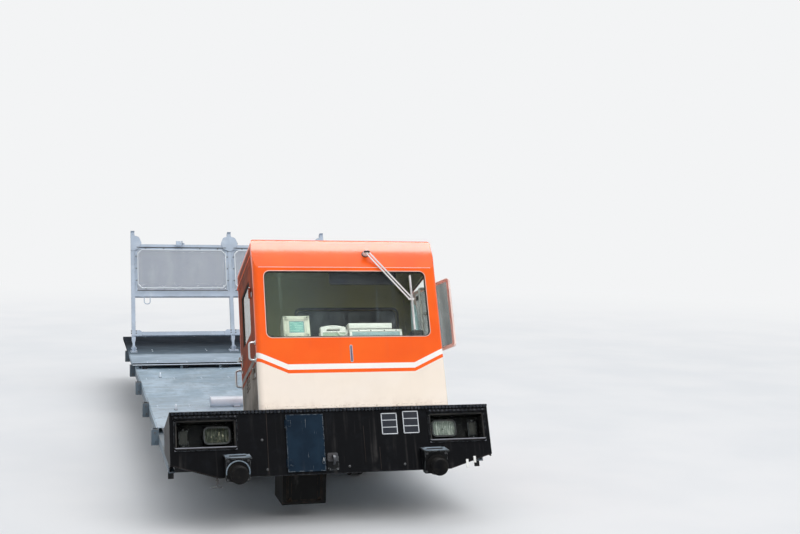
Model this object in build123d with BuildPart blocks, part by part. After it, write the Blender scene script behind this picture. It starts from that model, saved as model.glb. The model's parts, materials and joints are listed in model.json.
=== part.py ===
from build123d import *
import os
from math import atan2, cos, degrees, radians, sin

# Funicular goods car with a driver's cab at its downhill end.
# Millimetres. +X across (right as seen from below the car), +Y uphill along
# the deck, +Z square to the rails. The origin is under the middle of the car,
# at the lowest point of the wheel flanges.
# The deck, frame and buffers lie parallel to the rails. The cab, the front
# headstock and the load gate stand plumb on the slope, so here they lean back.

# Line and slope
lean = 23.4                 # slope of the line, in degrees
gauge = 1067                # between the rail heads
rail_head = 65              # width of a rail head

# Main lengths, along the deck
buffer_reach = 386          # headstock's top front edge to the buffers' faces
frame_length = 8050         # headstock's top front edge to the frame's rear end
drawbar_reach = 190         # rear end of the frame to the drawbar's tip
wheelbase = 4800
front_axle_y = (frame_length - wheelbase) / 2 + 25    # from the headstock's top front edge

# Heights above the rails
corner_height = 908         # top front edge of the headstock
deck_height = 550
sill_height = 500           # top of the sills and solebars
sill_width = 50
sill_depth = 80
rear_depth = 140            # rear headstock
solebar_depth = 110
sill_setback = 226          # side sills' front ends behind the plumb face
raised_height = 622         # top of the raised rear deck

# Widths
body_width = 2620           # outer faces of the side sills
solebar_x = (gauge + rail_head) / 2 + 234    # middle of a solebar, clear of the wheels
nosing_width = body_width + 100

# Sheet and plate
plate = 10
deck_plate_t = 6
seat_gap = 0.3              # between pieces that seat on each other
door_gap = 6                # round a moving leaf

# Headstock, plumb: sizes down from its top front edge
head_width = body_width + 8
head_face = 530             # height of the plumb face
head_corner = 420           # where its lower corners start
head_inset = head_width / 2 - 364   # half width of its lower edge
head_depth = 550            # level depth of its top
lamp_window = (470, 228)    # width and height of a headlamp's window
lamp_x = head_width / 2 - 279       # middle of a headlamp's window from the middle
lamp_w = -184               # its middle below the top edge
lamp_box_depth = 130

# Cab, plumb: across, level uphill and plumb up from the headstock's top
cab_left = 710 - body_width / 2
cab_right = body_width / 2 - 320
cab_depth = 980
cab_wall = 35
cab_round = 45              # its outer corners
roof_w = 1512               # roof above the headstock's top
fold_w = 1220               # where the forehead starts to lean back
fold_h = 92                 # how far the forehead leans back at the roof
screen_size = (cab_right - cab_left - 187, 586)
screen_mid = ((cab_left + cab_right) / 2 - 9, 895)
screen_round = 50
rear_window_size = (940, 300)
rear_window_mid = (screen_mid[0] + 214, 1002)
glass_t = 6
door_h = (165, 875)         # front and rear edge of the door's opening
door_w = (62, 1300)         # its lower and upper edge
door_window_h = (270, 760)
door_window_w = (730, 1200)
sash_h = (258, 738)         # front and rear edge of the side window's opening
sash_w = (600, 1250)
sash_open = 28              # how far the side window stands open, in degrees
sash_t = 16
sash_frame = 22
hinge_off = 14              # hinge axis outside the wall's face
hinge_r = 11
hinge_length = 44           # of one knuckle
pin_r = 5
pin_clear = 0.05
grip_w = (435, 585)         # lower and upper end of a grab handle

# Running gear
tread_r = 230
flange_depth = 25
flange_t = 28
groove_play = 10
drum_width = 190
hub_r = 95
hub_width = 170
web_t = 26
axle_r = 62
wheel_seat_r = 74
journal_r = 48
journal_clear = 0.08
box_width = 180             # axle box along the car
box_height = 190
box_length = 200            # axle box across the car
wing_reach = 205            # box's wings from the axle, along the car
spring_y = 148              # springs from the axle, along the car
spring_r = 46
guard_t = 16
guard_width = 110

# Deck furniture
pocket_pitch = 1420
pocket_first = 1250
pocket_count = 5
pocket_size = (62, 96, 140)   # out from the sill, along, high
pocket_wall = 9
nosing_y = 5120
lip_depth = 38
tube_r = 48
tube_y = 2300
tube_left = 570 - body_width / 2
tube_right = body_width / 2 - 130
eye_x = body_width / 2 - 230        # lashing eyes
eye_ys = (tube_y - 100, nosing_y - 720)
deck_seams = (tube_y + 120, nosing_y - 820)      # joints of its sheets
seam = (5, 2.5)                     # width and depth of such a joint

# Load gate, plumb
gate_y = 6220
post_x = body_width / 2 - 20
post_size = 50
gate_height = 1690
top_rail = (1486, 48)       # middle of a rail above the gate's feet, and its depth
mid_rail = (801, 66)
low_rail = (256, 52)

# Worked out from these
SIN = sin(radians(lean))
COS = cos(radians(lean))
overall = buffer_reach + frame_length + drawbar_reach
face_y = buffer_reach - overall / 2
rail_z = flange_depth
corner_z = rail_z + corner_height
deck_z = rail_z + deck_height
sill_z = rail_z + sill_height
raised_z = rail_z + raised_height
axle_z = rail_z + tread_r
wheel_x = (gauge + rail_head) / 2
frame_end_y = face_y + frame_length
half_body = body_width / 2
cab_width = cab_right - cab_left
cab_mid = (cab_left + cab_right) / 2


def spot(x, h, w):
    """The point that lies x across, h level uphill and w plumb up."""
    return Vector(x, face_y + h * COS + w * SIN, corner_z - h * SIN + w * COS)


def facing(h):
    """A plumb plane across the car, seen from downhill."""
    return Plane(origin=spot(0, h, 0), x_dir=(1, 0, 0), z_dir=(0, -COS, SIN))


def flank(x):
    """A plumb plane along the car: level uphill, then plumb up."""
    return Plane(origin=spot(x, 0, 0), x_dir=(0, COS, -SIN), z_dir=(1, 0, 0))


def level(w):
    """A level plane: across, then level uphill."""
    return Plane(origin=spot(0, 0, w), x_dir=(1, 0, 0), z_dir=(0, SIN, COS))


def plumb_drop(h, z):
    """How far plumb from the headstock's top a height z lies, h uphill."""
    return (z - corner_z + h * SIN) / COS


def along(y):
    """A place along the deck, from the headstock's top front edge."""
    return face_y + y


finished = []


def keep(builder, name):
    """Label a finished piece and put it on the list of pieces to write."""
    builder.part.label = name
    finished.append(builder.part)


# Front headstock: a plumb face plate with a level top, open below
head_back = plumb_drop(head_depth, sill_z)
head_front = plumb_drop(plate, sill_z)
with BuildPart() as headstock:
    with BuildSketch(flank(-head_width / 2)):
        with BuildLine():
            Polyline(
                (0, 0), (head_depth, 0), (head_depth, head_back),
                (plate, head_front), (plate, -head_face), (0, -head_face), close=True,
            )
        make_face()
    extrude(amount=head_width)
    with BuildSketch(flank(-head_width / 2 + plate)):
        with BuildLine():
            Polyline(
                (plate, -plate), (head_depth - plate, -plate),
                (head_depth - plate, head_back - plate), (plate, head_front - plate),
                close=True,
            )
        make_face()
    extrude(amount=head_width - 2 * plate, mode=Mode.SUBTRACT)
    with BuildSketch(facing(0)):
        for side in (-1, 1):
            with BuildLine():
                Polyline(
                    (side * head_width, -head_corner), (side * head_width / 2, -head_corner),
                    (side * head_inset, -head_face), (side * head_inset, -2 * head_face),
                    (side * head_width, -2 * head_face), close=True,
                )
            make_face()
    extrude(amount=-2 * plate, both=True, mode=Mode.SUBTRACT)
    with BuildSketch(facing(0)):
        with Locations((-lamp_x, lamp_w), (lamp_x, lamp_w)):
            RectangleRounded(*lamp_window, 18)
    extrude(amount=-plate, mode=Mode.SUBTRACT)
    # Raised frames round the lamp windows, with a hood strip above
    with BuildSketch(facing(0)):
        with Locations((-lamp_x, lamp_w), (lamp_x, lamp_w)):
            RectangleRounded(lamp_window[0] + 24, lamp_window[1] + 24, 24)
            RectangleRounded(*lamp_window, 18, mode=Mode.SUBTRACT)
    extrude(amount=8)
    with BuildSketch(facing(0)):
        with Locations((-lamp_x, lamp_w + 134), (lamp_x, lamp_w + 134)):
            Rectangle(lamp_window[0] + 36, 12)
    extrude(amount=26)
    # Tread lip along the top edge
    with BuildSketch(flank(-head_width / 2)):
        with Locations((0, -9)):
            Rectangle(16, 18)
    extrude(amount=head_width)
keep(headstock, "front_headstock")

# Headlamps: a housing behind each window, its lamp and its glass
lamp_back = plate + seat_gap + lamp_box_depth
lamp_size = (210, 140)
lamp_shift = (95, 4)        # lamp's middle from its window's: inwards and up
lamp_long = 70
with BuildPart() as headlamps:
    with BuildSketch(facing(plate + seat_gap)):
        with Locations((-lamp_x, lamp_w), (lamp_x, lamp_w)):
            RectangleRounded(lamp_window[0] + 20, lamp_window[1] + 20, 20)
    extrude(amount=-lamp_box_depth)
    with BuildSketch(facing(plate + seat_gap)):
        with Locations((-lamp_x, lamp_w), (lamp_x, lamp_w)):
            RectangleRounded(lamp_window[0] - 8, lamp_window[1] - 8, 14)
    extrude(amount=-(lamp_box_depth - 6), mode=Mode.SUBTRACT)
    # Lamp bodies, each with a dished mouth
    mids = [(side * (lamp_x - lamp_shift[0]), lamp_w + lamp_shift[1]) for side in (-1, 1)]
    with BuildSketch(facing(lamp_back - 6)):
        with Locations(*mids):
            RectangleRounded(*lamp_size, 40)
    extrude(amount=lamp_long)
    with BuildSketch(facing(lamp_back - 6 - lamp_long)):
        with Locations(*mids):
            RectangleRounded(lamp_size[0] - 20, lamp_size[1] - 20, 32)
    extrude(amount=-45, taper=22, mode=Mode.SUBTRACT)
keep(headlamps, "headlamps")
with BuildPart() as lamp_glasses:
    with BuildSketch(facing(2)):
        with Locations((-lamp_x, lamp_w), (lamp_x, lamp_w)):
            RectangleRounded(lamp_window[0] - 2 * seat_gap, lamp_window[1] - 2 * seat_gap, 17)
    extrude(amount=-glass_t)
keep(lamp_glasses, "headlamp_glasses")

# Centre cover on the headstock's face, and the small towing hook beside it
with BuildPart() as centre_cover:
    with BuildSketch(facing(0)):
        with Locations((-248, -277)):
            Rectangle(305, 462)
    extrude(amount=14)
    fillet(centre_cover.edges().filter_by(Axis.X), 5)
    with BuildSketch(facing(-14)):
        with Locations((-112, -415)):
            SlotOverall(74, 20, rotation=90)
    extrude(amount=9)
keep(centre_cover, "centre_cover")

hook_x = -34
hook_w = -400
with BuildPart() as towing_hook:
    with BuildSketch(facing(0)):
        with Locations((hook_x, hook_w)):
            RectangleRounded(84, 70, 12)
    extrude(amount=10)
    with BuildSketch(flank(hook_x - 9)):
        with BuildLine():
            l1 = Line((-8, hook_w + 18), (-45, hook_w + 12))
            l2 = ThreePointArc((-45, hook_w + 12), (-78, hook_w - 28), (-48, hook_w - 70))
            l3 = Line((-48, hook_w - 70), (-30, hook_w - 62))
            l4 = ThreePointArc((-30, hook_w - 62), (-52, hook_w - 34), (-34, hook_w - 10))
            l5 = Line((-34, hook_w - 10), (-8, hook_w - 14))
            l6 = Line((-8, hook_w - 14), (-8, hook_w + 18))
        make_face()
    extrude(amount=18)
keep(towing_hook, "towing_hook")

# Underframe: solebars and side sills are channels, cut plumb behind the headstock
def channel(middle_x, width, depth, wall, open_side):
    """Channel section seen along the car, its top at the sills' height."""
    with Locations((middle_x, sill_z - depth / 2)):
        Rectangle(width, depth)
    with Locations((middle_x + open_side * wall, sill_z - depth / 2)):
        Rectangle(width, depth - 2 * wall, mode=Mode.SUBTRACT)


across_end = Plane(origin=(0, frame_end_y - plate, 0), x_dir=(1, 0, 0), z_dir=(0, -1, 0))
beams = (
    # name, middle, width, depth, wall, how far uphill its front end is
    ("solebars", solebar_x, 80, solebar_depth, 9, plate + seat_gap),
    ("side_sills", half_body - sill_width / 2, sill_width, sill_depth, 9, sill_setback),
)
for name, middle_x, width, depth, wall, setback in beams:
    with BuildPart() as beam:
        with BuildSketch(across_end):
            for side in (-1, 1):
                channel(side * middle_x, width, depth, wall, -side)
        extrude(amount=frame_length + 400)
        split(bisect_by=facing(setback), keep=Keep.BOTTOM)
    keep(beam, name)

# Cross bearers between the solebars and out to the sills, with lightening holes
bearer_depth = 90
bearer_t = 10
bearer_ys = (110, 310, 700, 1250, 2350, 3300, 4250, 5200, 5950, frame_length - 900,
             frame_length - 200)
middle_span = 2 * (solebar_x - 40)
outer_span = half_body - sill_width - (solebar_x + 40)
outer_mid = solebar_x + 40 + outer_span / 2
bearer_mid_z = sill_z - bearer_depth / 2
with BuildPart() as cross_bearers:
    for y in bearer_ys:
        with BuildSketch(Plane(origin=(0, along(y), 0), x_dir=(1, 0, 0), z_dir=(0, -1, 0))):
            with Locations((0, bearer_mid_z)):
                Rectangle(middle_span, bearer_depth)
                with GridLocations(300, 1, 4, 1):
                    Circle(26, mode=Mode.SUBTRACT)
            with Locations((-outer_mid, bearer_mid_z), (outer_mid, bearer_mid_z)):
                Rectangle(outer_span, bearer_depth)
                Circle(26, mode=Mode.SUBTRACT)
        extrude(amount=bearer_t)
keep(cross_bearers, "cross_bearers")

# Rear headstock: a plate across the uphill end with the drawbar's eye
drawbar_eye_r = 26
drawbar_head_r = 62
drawbar_t = 50
eye_y = frame_end_y + drawbar_reach - drawbar_head_r
rear_mid_z = sill_z - rear_depth / 2
with BuildPart() as rear_headstock:
    with BuildSketch(Plane.YZ.offset(-half_body)):
        with Locations((frame_end_y - plate / 2, rear_mid_z)):
            Rectangle(plate, rear_depth)
    extrude(amount=body_width)
    chamfer(rear_headstock.edges().filter_by(Axis.Y).group_by(Axis.Z)[0], 40)
    with BuildSketch(Plane.XZ.offset(-frame_end_y)):
        with Locations((0, rear_mid_z)):
            RectangleRounded(220, 110, 14)
    extrude(amount=-16)
    with BuildSketch(Plane.XY.offset(rear_mid_z - drawbar_t / 2)):
        with Locations((0, (frame_end_y + eye_y) / 2)):
            Rectangle(84, eye_y - frame_end_y)
        with Locations((0, eye_y)):
            Circle(drawbar_head_r)
            Circle(drawbar_eye_r, mode=Mode.SUBTRACT)
    extrude(amount=drawbar_t)
keep(rear_headstock, "rear_headstock")

# Deck: a folded sheet on cross stiffeners, its front corners cut back
deck_inner = half_body - 95
deck_front = head_depth * COS + plumb_drop(head_depth, deck_z) * SIN + 1
deck_corner = 1300
with BuildPart() as deck:
    with BuildSketch(Plane.XY.offset(deck_z - deck_plate_t)):
        with BuildLine():
            Polyline(
                (-deck_inner, along(deck_front)), (deck_inner, along(deck_front)),
                (deck_inner, along(deck_corner)), (half_body, along(deck_corner)),
                (half_body, frame_end_y), (-half_body, frame_end_y),
                (-half_body, along(deck_corner)), (-deck_inner, along(deck_corner)), close=True,
            )
        make_face()
    extrude(amount=deck_plate_t)
    edge_drop = deck_z - deck_plate_t - sill_z
    with BuildSketch(Plane.XY.offset(sill_z)):
        for side in (-1, 1):
            with Locations((side * (half_body - 4), (along(deck_corner) + frame_end_y) / 2)):
                Rectangle(8, frame_end_y - along(deck_corner))
            with Locations((side * (deck_inner - 4), (along(deck_front) + along(deck_corner)) / 2)):
                Rectangle(8, deck_corner - deck_front)
        for y in (deck_front + 4, deck_corner + 4):
            with Locations((0, along(y))):
                Rectangle(2 * deck_inner, 8)
        with Locations((0, frame_end_y - 4)):
            Rectangle(body_width, 8)
        for step in range(10):
            with Locations((0, along(2000 + step * (frame_length - 2200) / 9))):
                Rectangle(body_width, 8)
    extrude(amount=edge_drop)
    with BuildSketch(Plane.XY.offset(deck_z)):
        for y in deck_seams:
            with Locations((0, along(y))):
                Rectangle(body_width, seam[0])
    extrude(amount=-seam[1], mode=Mode.SUBTRACT)
keep(deck, "deck")

# Platform under the cab: a wedge that brings the deck level with the headstock
wedge_end = (corner_z - deck_z) / SIN
with BuildPart() as cab_platform:
    with BuildSketch(flank(cab_left - 20)):
        with BuildLine():
            Polyline(
                (head_depth, 0), (wedge_end, 0),
                (head_depth + 28, plumb_drop(head_depth + 28, deck_z)),
                (head_depth, plumb_drop(head_depth, sill_z)), close=True,
            )
        make_face()
    extrude(amount=cab_width + 40)
    split(bisect_by=Plane.XY.offset(deck_z), keep=Keep.TOP)
keep(cab_platform, "cab_platform")

# Raised rear deck: a tray with a nosing, on short feet
foot_height = raised_z - lip_depth - deck_z
with BuildPart() as raised_deck:
    tray_y = (along(nosing_y) + frame_end_y) / 2
    tray_length = frame_end_y - along(nosing_y)
    with BuildSketch(Plane.XY.offset(raised_z - lip_depth)):
        with Locations((0, tray_y)):
            Rectangle(nosing_width, tray_length)
    extrude(amount=lip_depth)
    fillet(raised_deck.edges().filter_by(Axis.X).group_by(Axis.Z)[-1].sort_by(Axis.Y)[0], 12)
    with BuildSketch(Plane.XY.offset(raised_z - lip_depth)):
        with Locations((0, tray_y)):
            Rectangle(nosing_width - 16, tray_length - 16)
            with GridLocations(0, 580, 1, 4):
                Rectangle(nosing_width - 16, 8, mode=Mode.SUBTRACT)
    extrude(amount=lip_depth - 8, mode=Mode.SUBTRACT)
    with BuildSketch(Plane.XY.offset(deck_z)):
        with Locations((0, tray_y)):
            with GridLocations(486, (tray_length - 60) / 4, 6, 5):
                Rectangle(60, 60)
    extrude(amount=raised_z - 8 - deck_z)
    # Joints behind the nosing's strip and behind the gate's feet
    with BuildSketch(Plane.XY.offset(raised_z)):
        for y in (nosing_y + 130, gate_y + 120):
            with Locations((0, along(y))):
                Rectangle(nosing_width, seam[0])
    extrude(amount=-seam[1], mode=Mode.SUBTRACT)
keep(raised_deck, "raised_deck")

# Stake pockets: bent straps on the sills' outer faces, open above and below
for name, side in (("left", -1), ("right", 1)):
    out, long, high = pocket_size
    with BuildPart() as pockets:
        for step in range(pocket_count):
            y = along(pocket_first + step * pocket_pitch)
            with BuildSketch(Plane.XY.offset(deck_z - high)):
                with Locations((side * (half_body + out / 2), y)):
                    Rectangle(out, long)
                with Locations((side * (half_body + (out - pocket_wall) / 2), y)):
                    Rectangle(out - pocket_wall, long - 2 * pocket_wall, mode=Mode.SUBTRACT)
            extrude(amount=high)
    keep(pockets, f"stake_pockets_{name}")

# Steel tube across the deck, on two welded saddles
with BuildPart() as deck_tube:
    tube_z = deck_z + 8 + tube_r
    with BuildSketch(Plane.YZ.offset(tube_left)):
        with Locations((along(tube_y), tube_z)):
            Circle(tube_r)
    extrude(amount=tube_right - tube_left)
    with BuildSketch(Plane.XY.offset(deck_z)):
        with Locations((tube_left + 260, along(tube_y)), (tube_right - 260, along(tube_y))):
            Rectangle(60, 70)
    extrude(amount=tube_r)
    with BuildSketch(Plane.YZ.offset(tube_left)):
        with Locations((along(tube_y), tube_z)):
            Circle(tube_r - 5)
    extrude(amount=tube_right - tube_left, mode=Mode.SUBTRACT)
keep(deck_tube, "deck_tube")

# Lashing eyes on the deck
with BuildPart() as lashing_eyes:
    for x in (-eye_x, eye_x):
        for y in eye_ys:
            with BuildSketch(Plane.YZ.offset(x - 6)):
                with Locations((along(y), deck_z + 34)):
                    Circle(24)
                with Locations((along(y), deck_z + 17)):
                    Rectangle(48, 34)
                with Locations((along(y), deck_z + 34)):
                    Circle(12, mode=Mode.SUBTRACT)
            extrude(amount=12)
keep(lashing_eyes, "lashing_eyes")

# Buffers: a bracket on the headstock's face and a rubber block
buffer_x = solebar_x + 2
buffer_z = rail_z + 474
buffer_r = 70
bracket_y = along(-262)
bracket_size = (190, 180)
with BuildPart() as buffer_brackets:
    for side in (-1, 1):
        with BuildSketch(Plane(origin=(0, bracket_y, 0), x_dir=(1, 0, 0), z_dir=(0, -1, 0))):
            with Locations((side * buffer_x, buffer_z + 16)):
                RectangleRounded(*bracket_size, 12)
        extrude(amount=-200)
        with BuildSketch(Plane.XY.offset(buffer_z + 16 + bracket_size[1] / 2)):
            with Locations((side * buffer_x, bracket_y + 95)):
                Rectangle(bracket_size[0] + 16, 220)
        extrude(amount=10)
    split(bisect_by=facing(0), keep=Keep.TOP)
keep(buffer_brackets, "buffer_brackets")
nose_y = along(-buffer_reach)
with BuildPart() as buffers:
    for side in (-1, 1):
        profile = Plane(origin=(side * buffer_x, 0, buffer_z), x_dir=(0, 1, 0), z_dir=(1, 0, 0))
        with BuildSketch(profile):
            with BuildLine():
                Polyline(
                    (bracket_y, 0), (bracket_y, buffer_r + 14), (bracket_y - 14, buffer_r + 14),
                    (bracket_y - 20, buffer_r - 8), (nose_y + 42, buffer_r - 8),
                    (nose_y + 34, buffer_r), (nose_y + 14, buffer_r),
                )
                ThreePointArc(
                    (nose_y + 14, buffer_r), (nose_y + 4, buffer_r - 5), (nose_y, buffer_r - 14)
                )
                Polyline((nose_y, buffer_r - 14), (nose_y, 0), (bracket_y, 0))
            make_face()
        revolve(axis=Axis((side * buffer_x, 0, buffer_z), (0, 1, 0)))
keep(buffers, "buffers")

# Equipment case hung under the first two cross bearers, behind the cover
case_x = (-395, -35)
case_y = (70, 450)
case_foot_z = rail_z + 108
with BuildPart() as track_case:
    with BuildSketch(Plane.YZ.offset(case_x[0])):
        with BuildLine():
            Polyline(
                (along(case_y[0]), sill_z - bearer_depth), (along(case_y[0]), case_foot_z + 20),
                (along(case_y[0]) + 20, case_foot_z), (along(case_y[1]), case_foot_z),
                (along(case_y[1]), sill_z - bearer_depth), close=True,
            )
        make_face()
    extrude(amount=case_x[1] - case_x[0])
keep(track_case, "track_case")


# Wheelsets: on one side a wheel with two flanges, on the other a plain drum,
# so that the car keeps to its own side at the passing place
def wheel_rim(inner_x, outer_x, flanged):
    """Rim of a wheel, as points along and out from its axle."""
    rim_r = tread_r - 42
    if not flanged:
        return [(inner_x, rim_r), (inner_x, tread_r - 4), (inner_x + 8, tread_r),
                (outer_x - 8, tread_r), (outer_x, tread_r - 4), (outer_x, rim_r)]
    top = tread_r + flange_depth
    return [(inner_x, rim_r), (inner_x, top - 8), (inner_x + 8, top), (inner_x + 16, top),
            (inner_x + flange_t, tread_r), (outer_x - flange_t, tread_r),
            (outer_x - 16, top), (outer_x - 8, top), (outer_x, top - 8), (outer_x, rim_r)]


axle_places = (
    # name, place along the car
    ("front", along(front_axle_y)),
    ("rear", along(front_axle_y + wheelbase)),
)
groove_width = rail_head + groove_play + 2 * flange_t
end_x = solebar_x + box_length / 2 - 24
for name, axle_y in axle_places:
    across = Plane(origin=(0, axle_y, axle_z), x_dir=(1, 0, 0), z_dir=(0, -1, 0))
    spin = Axis((0, axle_y, axle_z), (1, 0, 0))
    wheels = (
        # kind, middle across the car, width of its rim, flanged
        ("grooved_wheel", wheel_x, groove_width, True),
        ("drum_wheel", -wheel_x, drum_width, False),
    )
    for kind, middle, width, flanged in wheels:
        low = middle - width / 2
        high = middle + width / 2
        with BuildPart() as wheel:
            with BuildSketch(across):
                with BuildLine():
                    Polyline(
                        (middle - hub_width / 2, wheel_seat_r + seat_gap),
                        (middle - hub_width / 2, hub_r), (middle - web_t / 2, hub_r + 14),
                        (middle - web_t / 2, tread_r - 62), *wheel_rim(low, high, flanged),
                        (middle + web_t / 2, tread_r - 62), (middle + web_t / 2, hub_r + 14),
                        (middle + hub_width / 2, hub_r),
                        (middle + hub_width / 2, wheel_seat_r + seat_gap), close=True,
                    )
                make_face()
            revolve(axis=spin)
        keep(wheel, f"{name}_{kind}")
    with BuildPart() as axle:
        seat_in = wheel_x - hub_width / 2 - 12
        seat_out = wheel_x + hub_width / 2 + 12
        with BuildSketch(across):
            with BuildLine():
                Polyline(
                    (-end_x, 0), (-end_x, journal_r), (-seat_out - 14, journal_r),
                    (-seat_out, wheel_seat_r), (-seat_in, wheel_seat_r), (-seat_in + 20, axle_r),
                    (seat_in - 20, axle_r), (seat_in, wheel_seat_r), (seat_out, wheel_seat_r),
                    (seat_out + 14, journal_r), (end_x, journal_r), (end_x, 0), close=True,
                )
            make_face()
        revolve(axis=spin)
    keep(axle, f"{name}_axle")

# Axle boxes with wings, the springs on them, and the guards that hold them
box_places = [(side, axle_y) for _, axle_y in axle_places for side in (-1, 1)]
with BuildPart() as axle_boxes:
    for side, axle_y in box_places:
        inner_x = side * solebar_x - box_length / 2
        with BuildSketch(Plane.YZ.offset(inner_x)):
            with Locations((axle_y, axle_z)):
                RectangleRounded(box_width, box_height, 26)
        extrude(amount=box_length)
        with BuildSketch(Plane.YZ.offset(side * solebar_x - 55)):
            with Locations((axle_y, axle_z - 30)):
                Rectangle(2 * wing_reach, 40)
        extrude(amount=110)
        bore_low = inner_x if side > 0 else inner_x + 20
        with BuildSketch(Plane.YZ.offset(bore_low)):
            with Locations((axle_y, axle_z)):
                Circle(journal_r + journal_clear)
        extrude(amount=box_length - 20, mode=Mode.SUBTRACT)
        cap_x = inner_x + box_length if side > 0 else inner_x
        with BuildSketch(Plane.YZ.offset(cap_x)):
            with Locations((axle_y, axle_z)):
                Circle(66)
        extrude(amount=side * 14)
keep(axle_boxes, "axle_boxes")

wing_top = axle_z - 10
spring_layers = 5
spring_layer = (sill_z - solebar_depth - wing_top) / spring_layers
with BuildPart() as springs:
    for side, axle_y in box_places:
        for flip in (-1, 1):
            base = (side * solebar_x, axle_y + flip * spring_y, wing_top)
            outline = [(0, 0)]
            for step in range(spring_layers):
                low = step * spring_layer
                outline += [(spring_r, low), (spring_r, low + 8), (spring_r - 10, low + 12),
                            (spring_r - 10, low + spring_layer - 4)]
            outline += [(spring_r, spring_layers * spring_layer), (0, spring_layers * spring_layer)]
            with BuildSketch(Plane(origin=base, x_dir=(1, 0, 0), z_dir=(0, -1, 0))):
                with BuildLine():
                    Polyline(*outline, close=True)
                make_face()
            revolve(axis=Axis(base, (0, 0, 1)))
keep(springs, "springs")

guard_top = sill_z - solebar_depth
guard_foot = axle_z - box_height / 2 - 22
with BuildPart() as axle_guards:
    reach = wing_reach + 4
    for side, axle_y in box_places:
        with BuildSketch(Plane.YZ.offset(side * solebar_x - guard_width / 2)):
            with BuildLine():
                Polyline(
                    (axle_y - reach - 90, guard_top), (axle_y - reach - guard_t, axle_z - 60),
                    (axle_y - reach - guard_t, guard_foot), (axle_y + reach + guard_t, guard_foot),
                    (axle_y + reach + guard_t, axle_z - 60), (axle_y + reach + 90, guard_top),
                    (axle_y + reach, guard_top), (axle_y + reach, guard_foot + 14),
                    (axle_y - reach, guard_foot + 14), (axle_y - reach, guard_top), close=True,
                )
            make_face()
        extrude(amount=guard_width)
keep(axle_guards, "axle_guards")

# Rail brakes: jaws held open on both sides of the rail head, hung from two cross bearers
jaw_gap = 8
pad_long = 200
pad_t = 22
pivot_x = 60
pivot_z = rail_z + 150
cylinder_z = rail_z + 300
cylinder_r = 42
hanger_half = 10
bearer_foot_z = sill_z - bearer_depth
jaw_x = rail_head / 2 + jaw_gap
with BuildPart() as rail_brakes:
    for y in bearer_ys[5:7]:
        brake_y = along(y) - bearer_t / 2
        across = Plane(origin=(wheel_x, brake_y, 0), x_dir=(1, 0, 0), z_dir=(0, -1, 0))
        with BuildSketch(across):
            with BuildLine():
                Polyline(
                    (-100, bearer_foot_z), (100, bearer_foot_z), (100, bearer_foot_z - 12),
                    (66, bearer_foot_z - 40), (84, pivot_z), (pivot_x, pivot_z - 28),
                    (-pivot_x, pivot_z - 28), (-84, pivot_z), (-66, bearer_foot_z - 40),
                    (-100, bearer_foot_z - 12), close=True,
                )
            make_face()
            with Locations((0, cylinder_z)):
                Circle(cylinder_r + 8, mode=Mode.SUBTRACT)
        extrude(amount=hanger_half, both=True)
        with BuildSketch(Plane.XY.offset(bearer_foot_z)):
            with Locations((wheel_x, brake_y)):
                Rectangle(200, 90)
        extrude(amount=-12)
        for side in (-1, 1):
            # A jaw's two lever plates, one on each face of the hanger
            for facing_side in (-1, 1):
                plate_plane = Plane(
                    origin=(wheel_x, brake_y + facing_side * hanger_half, 0), x_dir=(1, 0, 0),
                    z_dir=(0, -1, 0),
                )
                with BuildSketch(plate_plane):
                    with BuildLine():
                        Polyline(
                            (side * jaw_x, rail_z - 20), (side * jaw_x, rail_z + 14),
                            (side * (jaw_x + 8), rail_z + 60), (side * 36, pivot_z - 20),
                            (side * 36, pivot_z + 20), (side * 70, cylinder_z + 26),
                            (side * 100, cylinder_z + 26), (side * 98, cylinder_z - 30),
                            (side * 84, pivot_z + 14), (side * 84, pivot_z - 22),
                            (side * (jaw_x + 34), rail_z + 40),
                            (side * (jaw_x + pad_t + 4), rail_z - 20), close=True,
                        )
                    make_face()
                extrude(amount=-facing_side * 16)
            with BuildSketch(across):
                with Locations((side * pivot_x, pivot_z)):
                    Circle(17)
                with Locations((side * 85, cylinder_z)):
                    Circle(12)
            extrude(amount=hanger_half + 24, both=True)
            with BuildSketch(across):
                with Locations((side * (jaw_x + pad_t / 2), rail_z - 10)):
                    Rectangle(pad_t, 20)
            extrude(amount=pad_long / 2, both=True)
        with BuildSketch(Plane.YZ.offset(wheel_x - 58)):
            with Locations((brake_y, cylinder_z)):
                Circle(cylinder_r)
        extrude(amount=116)
        with BuildSketch(Plane.YZ.offset(wheel_x - 90)):
            with Locations((brake_y, cylinder_z)):
                Circle(13)
        extrude(amount=180)
keep(rail_brakes, "rail_brakes")


# Cab shell, from which the panels are split
def cab_block(inset, corner):
    """The cab's form, inset on every side but its floor, as a builder."""
    heel = cab_depth - inset
    with BuildPart() as block:
        with BuildSketch(flank(cab_left + inset)):
            with BuildLine():
                Polyline(
                    (inset, 0), (inset, fold_w), (fold_h + inset, roof_w - inset),
                    (heel, roof_w - inset), (heel, plumb_drop(heel, deck_z)), (wedge_end, 0),
                    close=True,
                )
            make_face()
        extrude(amount=cab_width - 2 * inset)
        plumb = block.edges().filter_by(Axis(spot(0, 0, 0), (0, SIN, COS)))
        fillet(plumb, corner)
        fillet(block.faces().sort_by(Axis(spot(0, 0, 0), (0, SIN, COS)))[-1].edges(), corner)
    return block


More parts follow.
